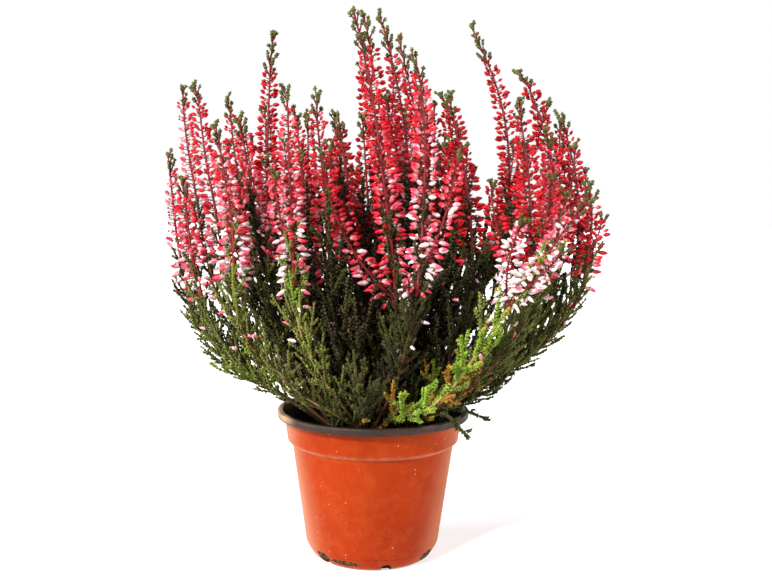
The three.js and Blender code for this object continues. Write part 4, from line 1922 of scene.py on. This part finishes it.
    def _inner(self) -> None:
        """Grows the long shoots that fill the plant's inside, up among the flower spikes, with leaves near
        black as painted shade.
        """
        growth, rng = self.growth, self.growth.rng
        for _ in range(self.cutting.core_shoots):
            direction = leaning(rng.uniform(0, 2 * math.pi), rng.uniform(52, 84))
            look = Look(LeafTint.SHADED.value + rng.uniform(0, 0.12), WoodTint.BROWN.value)
            side = square_to(direction[None], UP + 0.1)[0]
            growth.branch(self.crown, direction, side, rng.uniform(60, 105), 4, look, DEEP)
        for spike in self.cutting.spikes:
            x, y, _ = spike.start
            if abs(x) > self.inner_reach or not -30 < y < 80:
                continue
            stem = PLAN.to_spike(self.cutting, spike)
            distances = stem.length * np.linspace(0.25, 0.98, self.inner_shoots)
            top = self.inner_top - self.inner_fall * max(abs(x) - self.inner_heart, 0)
            for root, along, across in growth.round_about(stem, distances):
                look = Look(LeafTint.SHADED.value + rng.uniform(0, 0.16), WoodTint.BROWN.value)
                length = min(rng.uniform(55, 85), top - root[2])
                growth.branch(root, along, across, length, rng.uniform(10, 22), look, DEEP)

    def _basal(self) -> None:
        """Grows the short dark shoots round the crown."""
        rng = self.growth.rng
        outward = math.atan2(self.crown[1], self.crown[0])
        for _ in range(self.cutting.basal_shoots):
            direction = leaning(outward + rng.normal(0, 1.1), rng.uniform(30, 75))
            root = self.crown + UP * rng.uniform(-3, 1)
            look = Look(LeafTint.DARK.value + rng.uniform(-0.1, 0.14), WoodTint.BROWN.value)
            side = square_to(direction[None], UP + 0.1)[0]
            self.growth.branch(root, direction, side, rng.uniform(18, 38), 6, look)


# ---- flower spikes


@dataclass(frozen=True)
class Truss:
    """One flowering axis of a spike: the spike's own or a side one."""

    line: Line
    axis_radius: float
    green_tip: float
    clubs: int
    per_whorl: int
    paleness: float  # how far down the whole spike it starts, from 0 at its tip to 1 at its foot


@dataclass
class Raceme:
    """One flower spike: red axes with small bracts, stalked buds in whorls, and leafy green tips."""

    name: str
    spike: Spike
    stem: Line
    box: Box
    pot: GrowerPot
    seed: int
    gap: float = 0.3
    axis_radius: float = 1.0
    axis_tip_radius: float = 0.4
    parting: float = 0.55
    whorl_spacing: float = 3.0
    per_whorl: int = 5
    green_tip: float = 15.0
    tall_tip: float = 27.0
    tall: float = 290.0
    club_spacing: float = 1.8
    side_room: float = 6.0
    side_radius: float = 0.6
    side_per_whorl: int = 4
    side_tip: float = 0.16
    side_clubs: int = 3
    club_radius: float = 0.7
    strays: int = 5
    bud_length: float = 5.8
    small_bud: float = 2.9
    bud_slimness: float = 0.205
    stalk: float = 2.9
    tip_tint: float = 0.48
    low_tip_tint: float = 0.33

    def __post_init__(self) -> None:
        """Starts with nothing grown."""
        self.rng = np.random.default_rng(self.seed)
        self.skin = Skin(self.box)
        self.cups, self.buds = Copies(), Copies()

    def build(
        self, bud: Stamp, cup: Stamp, leaf: Stamp, materials: list[bpy.types.Material]
    ) -> bpy.types.Object:
        """Grows the spike and makes its piece.

        Args:
            bud: The bud to copy.
            cup: The cup of bracts to copy.
            leaf: The leaf to copy.
            materials: The plant's materials, in the order of Part.

        Returns:
            The new piece.
        """
        line = self._line()
        tip = self.tall_tip if line.points[-1][2] > self.tall else self.green_tip
        clubs = int(tip / self.club_spacing)
        main = Truss(line, self.axis_radius, tip, clubs, self.per_whorl, 1.0)
        for truss in (main, *self._side_trusses(line)):
            self._axis(truss, leaf)
            self._flowers(truss)
            self._tip(truss, leaf)
        self._strays()
        self.skin.add_copies(cup, self.cups, Part.WOOD)
        self.skin.add_copies(bud, self.buds, Part.PETAL)
        piece = self.skin.piece(f"{self.name}_flowers", materials)
        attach(piece, "root")
        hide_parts(self.name)
        return piece

    def _line(self) -> Line:
        """The spike's centre line, with the slight crooks of a grown stem and a nod at its tip.

        Returns:
            The line.
        """
        rng = self.rng
        points = PLAN.raceme(self.spike).points.copy()
        share = np.linspace(0, 1, len(points))[:, None]
        sway = np.sin(share * rng.uniform(7, 11) + rng.uniform(0, 6, 3)) * share * (1 - share) * 4
        azimuth = rng.uniform(0, 2 * math.pi)
        nod = np.array((math.cos(azimuth), math.sin(azimuth), -0.25)) * rng.uniform(1.2, 3.2)
        bend = np.clip((share - 0.9) / 0.1, 0, 1) ** 2 * nod
        return Line(points + sway * (1, 1, 0) * 0.35 + bend)

    def _side_trusses(self, main: Line) -> list[Truss]:
        """Shorter side spikes that leave the main one low down and run up beside it.

        Args:
            main: The main one's line.

        Returns:
            Those that have room.
        """
        rng = self.rng
        low, high = self.box[0] + self.side_room, self.box[1] - self.side_room
        trusses = []
        first_turn = rng.uniform(0, 2 * math.pi)
        if self.spike.facing is not None:
            first_turn = math.radians(self.spike.facing)
        for number in range(self.spike.sides):
            at_foot = number == 0 and self.spike.facing is not None
            share = 0.02 if at_foot else rng.uniform(0.08, 0.3)
            lean = 1.0 if at_foot else 0.42
            place, along = main.at(np.array([share * main.length]))
            length = (1 - share) * main.length * rng.uniform(0.5, 0.72)
            for turn in first_turn + (number + np.arange(8)) * GOLDEN_ANGLE:
                across = turned(square_to(along, EAST), along, np.array([turn]))[0]
                first, last = unit(along[0] + lean * across), unit(along[0] + 0.02 * across + 0.1 * UP)
                half = length / 2
                side = bezier([place[0], place[0] + first * half, place[0] + (first + last) * half], 12)
                if np.all(side.points > low) and np.all(side.points < high):
                    tip, clubs, whorl = self.side_tip * length, self.side_clubs, self.side_per_whorl
                    trusses.append(Truss(side, self.side_radius, tip, clubs, whorl, 1 - share))
                    break
        return trusses

    def _axis(self, truss: Truss, leaf: Stamp) -> None:
        """An axis's own stem, with the small red bracts that clothe it.

        Args:
            truss: The axis.
            leaf: The leaf to copy.
        """
        distances = np.linspace(self.gap, truss.line.length - 0.6, 18)
        places, _ = truss.line.at(distances)
        radii = np.linspace(truss.axis_radius, self.axis_tip_radius, len(distances))
        self.skin.add_tubes(places[None], radii[None], np.array([WoodTint.RED.value]), 5, Part.WOOD)
        bracts = Growth(self.seed + Seed.BRACTS, self.box, self.pot)
        bracts.leaf_out(Line(places), WoodTint.RED.value, BRACTS)
        self.skin.add_copies(leaf, bracts.leaves, Part.WOOD)

    def _flowers(self, truss: Truss) -> None:
        """The buds on their stalks: long and pale at the foot, small, round and red towards the tip.

        Args:
            truss: The axis that carries them.
        """
        rng, line = self.rng, truss.line
        flowered = line.length - max(truss.green_tip - 5, 1.5)
        whorls = max(3, int(flowered / self.whorl_spacing))
        number = whorls * truss.per_whorl
        whorl = np.repeat(np.arange(whorls), truss.per_whorl)
        place_in = np.tile(np.arange(truss.per_whorl), whorls)
        share = np.clip((whorl + 0.4 + rng.normal(0, 0.3, number)) / whorls, 0.002, 0.998)
        roots, along = line.at(np.clip(share * flowered, self.gap + 0.3, None))
        share = 1 - truss.paleness * (1 - share)
        turns = (place_in + 0.5 * (whorl % 2)) * 2 * math.pi / truss.per_whorl
        turns = turns + whorl * 0.3 + rng.normal(0, 0.3, number)
        out = self._parted(turned(square_to(along, EAST), along, turns), along)
        small = share**1.5
        length = (self.bud_length * (1 - small) + self.small_bud * small) * rng.uniform(0.78, 1.15, number)
        stalk = self.stalk * (1 - 0.62 * share) * rng.uniform(0.5, 1.25, number)
        lift = np.radians(np.interp(share, [0, 0.3, 1], [-26, 2, 34]) + rng.normal(0, 13, number))
        cupped = roots + out * (truss.axis_radius + stalk * 0.8)[:, None] + along * (0.45 * stalk)[:, None]
        flat = unit(out * (1, 1, 0.15))
        direction = unit(flat * np.cos(lift)[:, None] + UP * np.sin(lift)[:, None])
        direction = unit(direction + rng.normal(0, 0.12, (number, 3)))
        tint = self.spike.buds.value + 0.3 * (share - 0.42) + rng.normal(0, 0.12, number)
        tint = tint - np.where(rng.uniform(size=number) < 0.45 * (1 - share), 0.26, 0.0)
        keep = rng.uniform(size=number) < np.interp(share, [0, 0.15, 0.8, 1], [0.5, 0.95, 0.95, 0.8])
        self._hang(roots, cupped, direction, length, small, tint, keep)

    def _parted(self, out: Array, along: Array) -> Array:
        """Turns stalks aside from the spike's open face, where its axis shows.

        Args:
            out: The way each stalk leaves its axis.
            along: The axis's direction there.

        Returns:
            The new ways.
        """
        outer = unit(np.array(self.spike.start) * (1, 1, 0))
        face = square_to(along, unit(0.5 * outer - NORTH))
        across = np.cross(along, face)
        angle = np.arctan2(np.sum(out * across, axis=1), np.sum(out * face, axis=1))
        aside = np.sign(angle) * (self.parting + np.abs(angle) * (1 - self.parting / math.pi))
        return turned(face, along, aside)

    def _strays(self) -> None:
        """The lone pale buds that hang from the stem below the spike."""
        rng = self.rng
        number = int(rng.integers(2, self.strays + 1))
        roots, along = self.stem.at(self.stem.length - rng.uniform(2, 30, number))
        out = turned(square_to(along, EAST), along, rng.uniform(0, 2 * math.pi, number))
        out = unit(out * (1, 1, 0.2) + (0, -0.25, 0))
        cupped = roots + out * rng.uniform(2.6, 4.2, number)[:, None]
        lift = np.radians(rng.uniform(-40, 10, number))[:, None]
        direction = unit(out * (1, 1, 0)) * np.cos(lift) + UP * np.sin(lift)
        length = rng.uniform(4.4, 6, number)
        tint = BudTint.WHITE.value + rng.uniform(-0.1, 0.2, number)
        self._hang(roots, cupped, direction, length, np.zeros(number), tint, np.ones(number, bool))

    def _hang(
        self,
        roots: Array,
        cupped: Array,
        direction: Array,
        length: Array,
        small: Array,
        tint: Array,
        keep: Array,
    ) -> None:
        """Hangs buds on their stalks, without those that would leave the box.

        Args:
            roots: Where each stalk leaves its stem.
            cupped: Where each stalk ends in a cup.
            direction: The way each bud points.
            length: Each bud's length.
            small: How small each bud is, from 0 to 1. A smaller one is rounder.
            tint: Each bud's tint.
            keep: Whether each bud is wanted.
        """
        low, high = self.box
        ends = cupped + direction * length[:, None]
        keep = keep & np.all((ends > low) & (ends < high), axis=1)
        if not np.any(keep):
            return
        columns = (roots, cupped, direction, length, small, tint)
        roots, cupped, direction, length, small, tint = (column[keep] for column in columns)
        woods = np.clip(WoodTint.DARK_RED.value + 0.08 * np.sin(7 * np.arange(len(roots))), 0, 1)
        radii = np.broadcast_to((0.34, 0.28), (len(roots), 2))
        self.skin.add_tubes(np.stack([roots, cupped], axis=1), radii, woods, 3, Part.WOOD)
        side = square_to(direction, UP)
        cup_length = 0.7 + 0.26 * length
        self.cups.add(cupped, direction, side, cup_length, 0.4 + 0.1 * length, woods - 0.1)
        foot = cupped + direction * (0.4 * cup_length)[:, None]
        self.buds.add(foot, direction, side, length, length * (self.bud_slimness + 0.14 * small), tint)

    def _tip(self, truss: Truss, leaf: Stamp) -> None:
        """The leafy tip: short club-like shoots, each with a knot of small leaves on its outer half.

        Args:
            truss: The axis.
            leaf: The leaf to copy.
        """
        growth = Growth(self.seed + Seed.TIP, self.box, self.pot)
        rng, line, count = growth.rng, truss.line, truss.clubs
        upper = Line(line.at(np.linspace(line.length - 3.5, line.length, 4))[0])
        growth.leaf_out(upper, self.tip_tint, KNOT)
        shares = (np.arange(count) + rng.uniform(0, 1, count)) / count
        distances = line.length - truss.green_tip + truss.green_tip * 0.92 * shares
        for number, place in enumerate(growth.round_about(line, distances)):
            length = rng.uniform(4.5, 8.5) * (1 - 0.45 * number / count)
            shoot = growth.twig(*place, length, rng.uniform(22, 44), 2)
            if shoot is not None:
                growth.keep(shoot, self.club_radius, WoodTint.RED.value)
                knot = np.interp(number / count, [0, 1], [self.low_tip_tint, self.tip_tint])
                growth.leaf_out(shoot, knot + rng.normal(0, 0.025), KNOT, start=0.45 * shoot.length)
        growth.skin(self.skin, leaf)


# ---- studio


@dataclass(frozen=True)
class SoftLight:
    """A distant light with soft-edged shadows."""

    name: str
    source: Point
    width: float
    power: float
    colour: Colour = (1.0, 1.0, 1.0)

    def build(self) -> None:
        """Builds the light, shining from source towards the origin and width degrees wide."""
        data = bpy.data.lights.new(self.name, "SUN")
        data.angle, data.energy, data.color = math.radians(self.width), self.power, self.colour
        light = bpy.data.objects.new(self.name, data)
        light.location = self.source
        light.rotation_euler = (-Vector(self.source)).to_track_quat("-Z", "Y").to_euler()
        link(light)


@dataclass
class Studio:
    """The pale floor, the soft lights and the camera."""

    camera_place: Point = (0.0067, -0.5709, 0.2082)
    camera_dip: float = 5.48
    camera_roll: float = 0.58
    lens: float = 46.87
    sensor: float = 36.0
    clip: tuple[float, float] = (0.02, 50.0)
    floor_size: float = 12.0
    seen_sky: float = 1.0
    mirrored_sky: float = 0.75
    sky_light: float = 0.1
    lights: tuple[SoftLight, ...] = (
        SoftLight("key light", (-0.55, -0.8, 0.75), 9.0, 4.35),
        SoftLight("fill light", (1.0, -0.15, 0.3), 30.0, 2.2),
        SoftLight("edge light", (-1.0, -0.2, 0.35), 30.0, 2.2),
    )

    def build(self) -> None:
        """Builds the studio."""
        self._camera()
        self._floor()
        self._sky()
        for light in self.lights:
            light.build()
        bpy.context.scene.view_settings.view_transform = "Standard"

    def _camera(self) -> None:
        """Sets up the camera."""
        data = bpy.data.cameras.new("camera")
        data.lens, data.sensor_width = self.lens, self.sensor
        data.clip_start, data.clip_end = self.clip
        camera = bpy.data.objects.new("camera", data)
        camera.location = self.camera_place
        tilt = Matrix.Rotation(math.radians(90 - self.camera_dip), 3, "X")
        roll = Matrix.Rotation(math.radians(self.camera_roll), 3, "Z")
        camera.rotation_euler = (tilt @ roll).to_euler()
        link(camera)
        bpy.context.scene.camera = camera

    def _floor(self) -> None:
        """Lays the floor."""
        deselect()
        bpy.ops.mesh.primitive_plane_add(size=self.floor_size)
        floor = bpy.context.active_object
        floor.name = floor.data.name = "studio_floor"
        floor.data.materials.append(FloorFinish().make())

    def _sky(self) -> None:
        """Surrounds the scene with white, bright where it is seen and softer where it lights the plant."""
        world = bpy.data.worlds.new("white surround")
        world.use_nodes = True
        graph = Graph(world.node_tree)
        path = graph.add("LightPath").outputs
        mirrored = graph.times(path["Is Glossy Ray"], self.mirrored_sky)
        seen = graph.times(path["Is Camera Ray"], self.seen_sky)
        strength = graph.math("MAXIMUM", graph.math("MAXIMUM", seen, mirrored), self.sky_light)
        graph.fill(world.node_tree.nodes["Background"], {"Color": (1, 1, 1, 1), "Strength": strength})
        bpy.context.scene.world = world


# ---- assembly


def report(piece: bpy.types.Object) -> int:
    """Logs a piece's size.

    Args:
        piece: The piece.

    Returns:
        Its number of triangles.
    """
    piece.data.calc_loop_triangles()
    triangles = len(piece.data.loop_triangles)
    LOG.info("%s: %d triangles", piece.name, triangles)
    return triangles


def main() -> None:
    logging.basicConfig(level=logging.INFO, format="%(name)s %(message)s")
    box = tuple(np.array(corner) / MM for corner in CAD_BOX)
    Studio().build()
    pot = GrowerPot()
    total = report(pot.build())
    total += report(Peat(pot).build())
    materials = [BarkFinish().make(), LeafFinish().make(), PetalFinish().make()]
    leaf, bud, cup = model_leaf(), model_bud(), model_cup()
    for number, cutting in enumerate(CUTTINGS):
        total += report(Heather(cutting, pot, box, Seed.CUTTING + number).build(leaf, materials))
    spikes = [(cutting, spike) for cutting in CUTTINGS for spike in cutting.spikes]
    for number, (cutting, spike) in enumerate(spikes, start=1):
        stem = PLAN.to_spike(cutting, spike)
        raceme = Raceme(f"raceme_{number:02d}", spike, stem, box, pot, Seed.RACEME + number)
        total += report(raceme.build(bud, cup, leaf, materials))
    LOG.info("all pieces: %d triangles", total)
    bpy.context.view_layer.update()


if __name__ == "__main__":
    main()
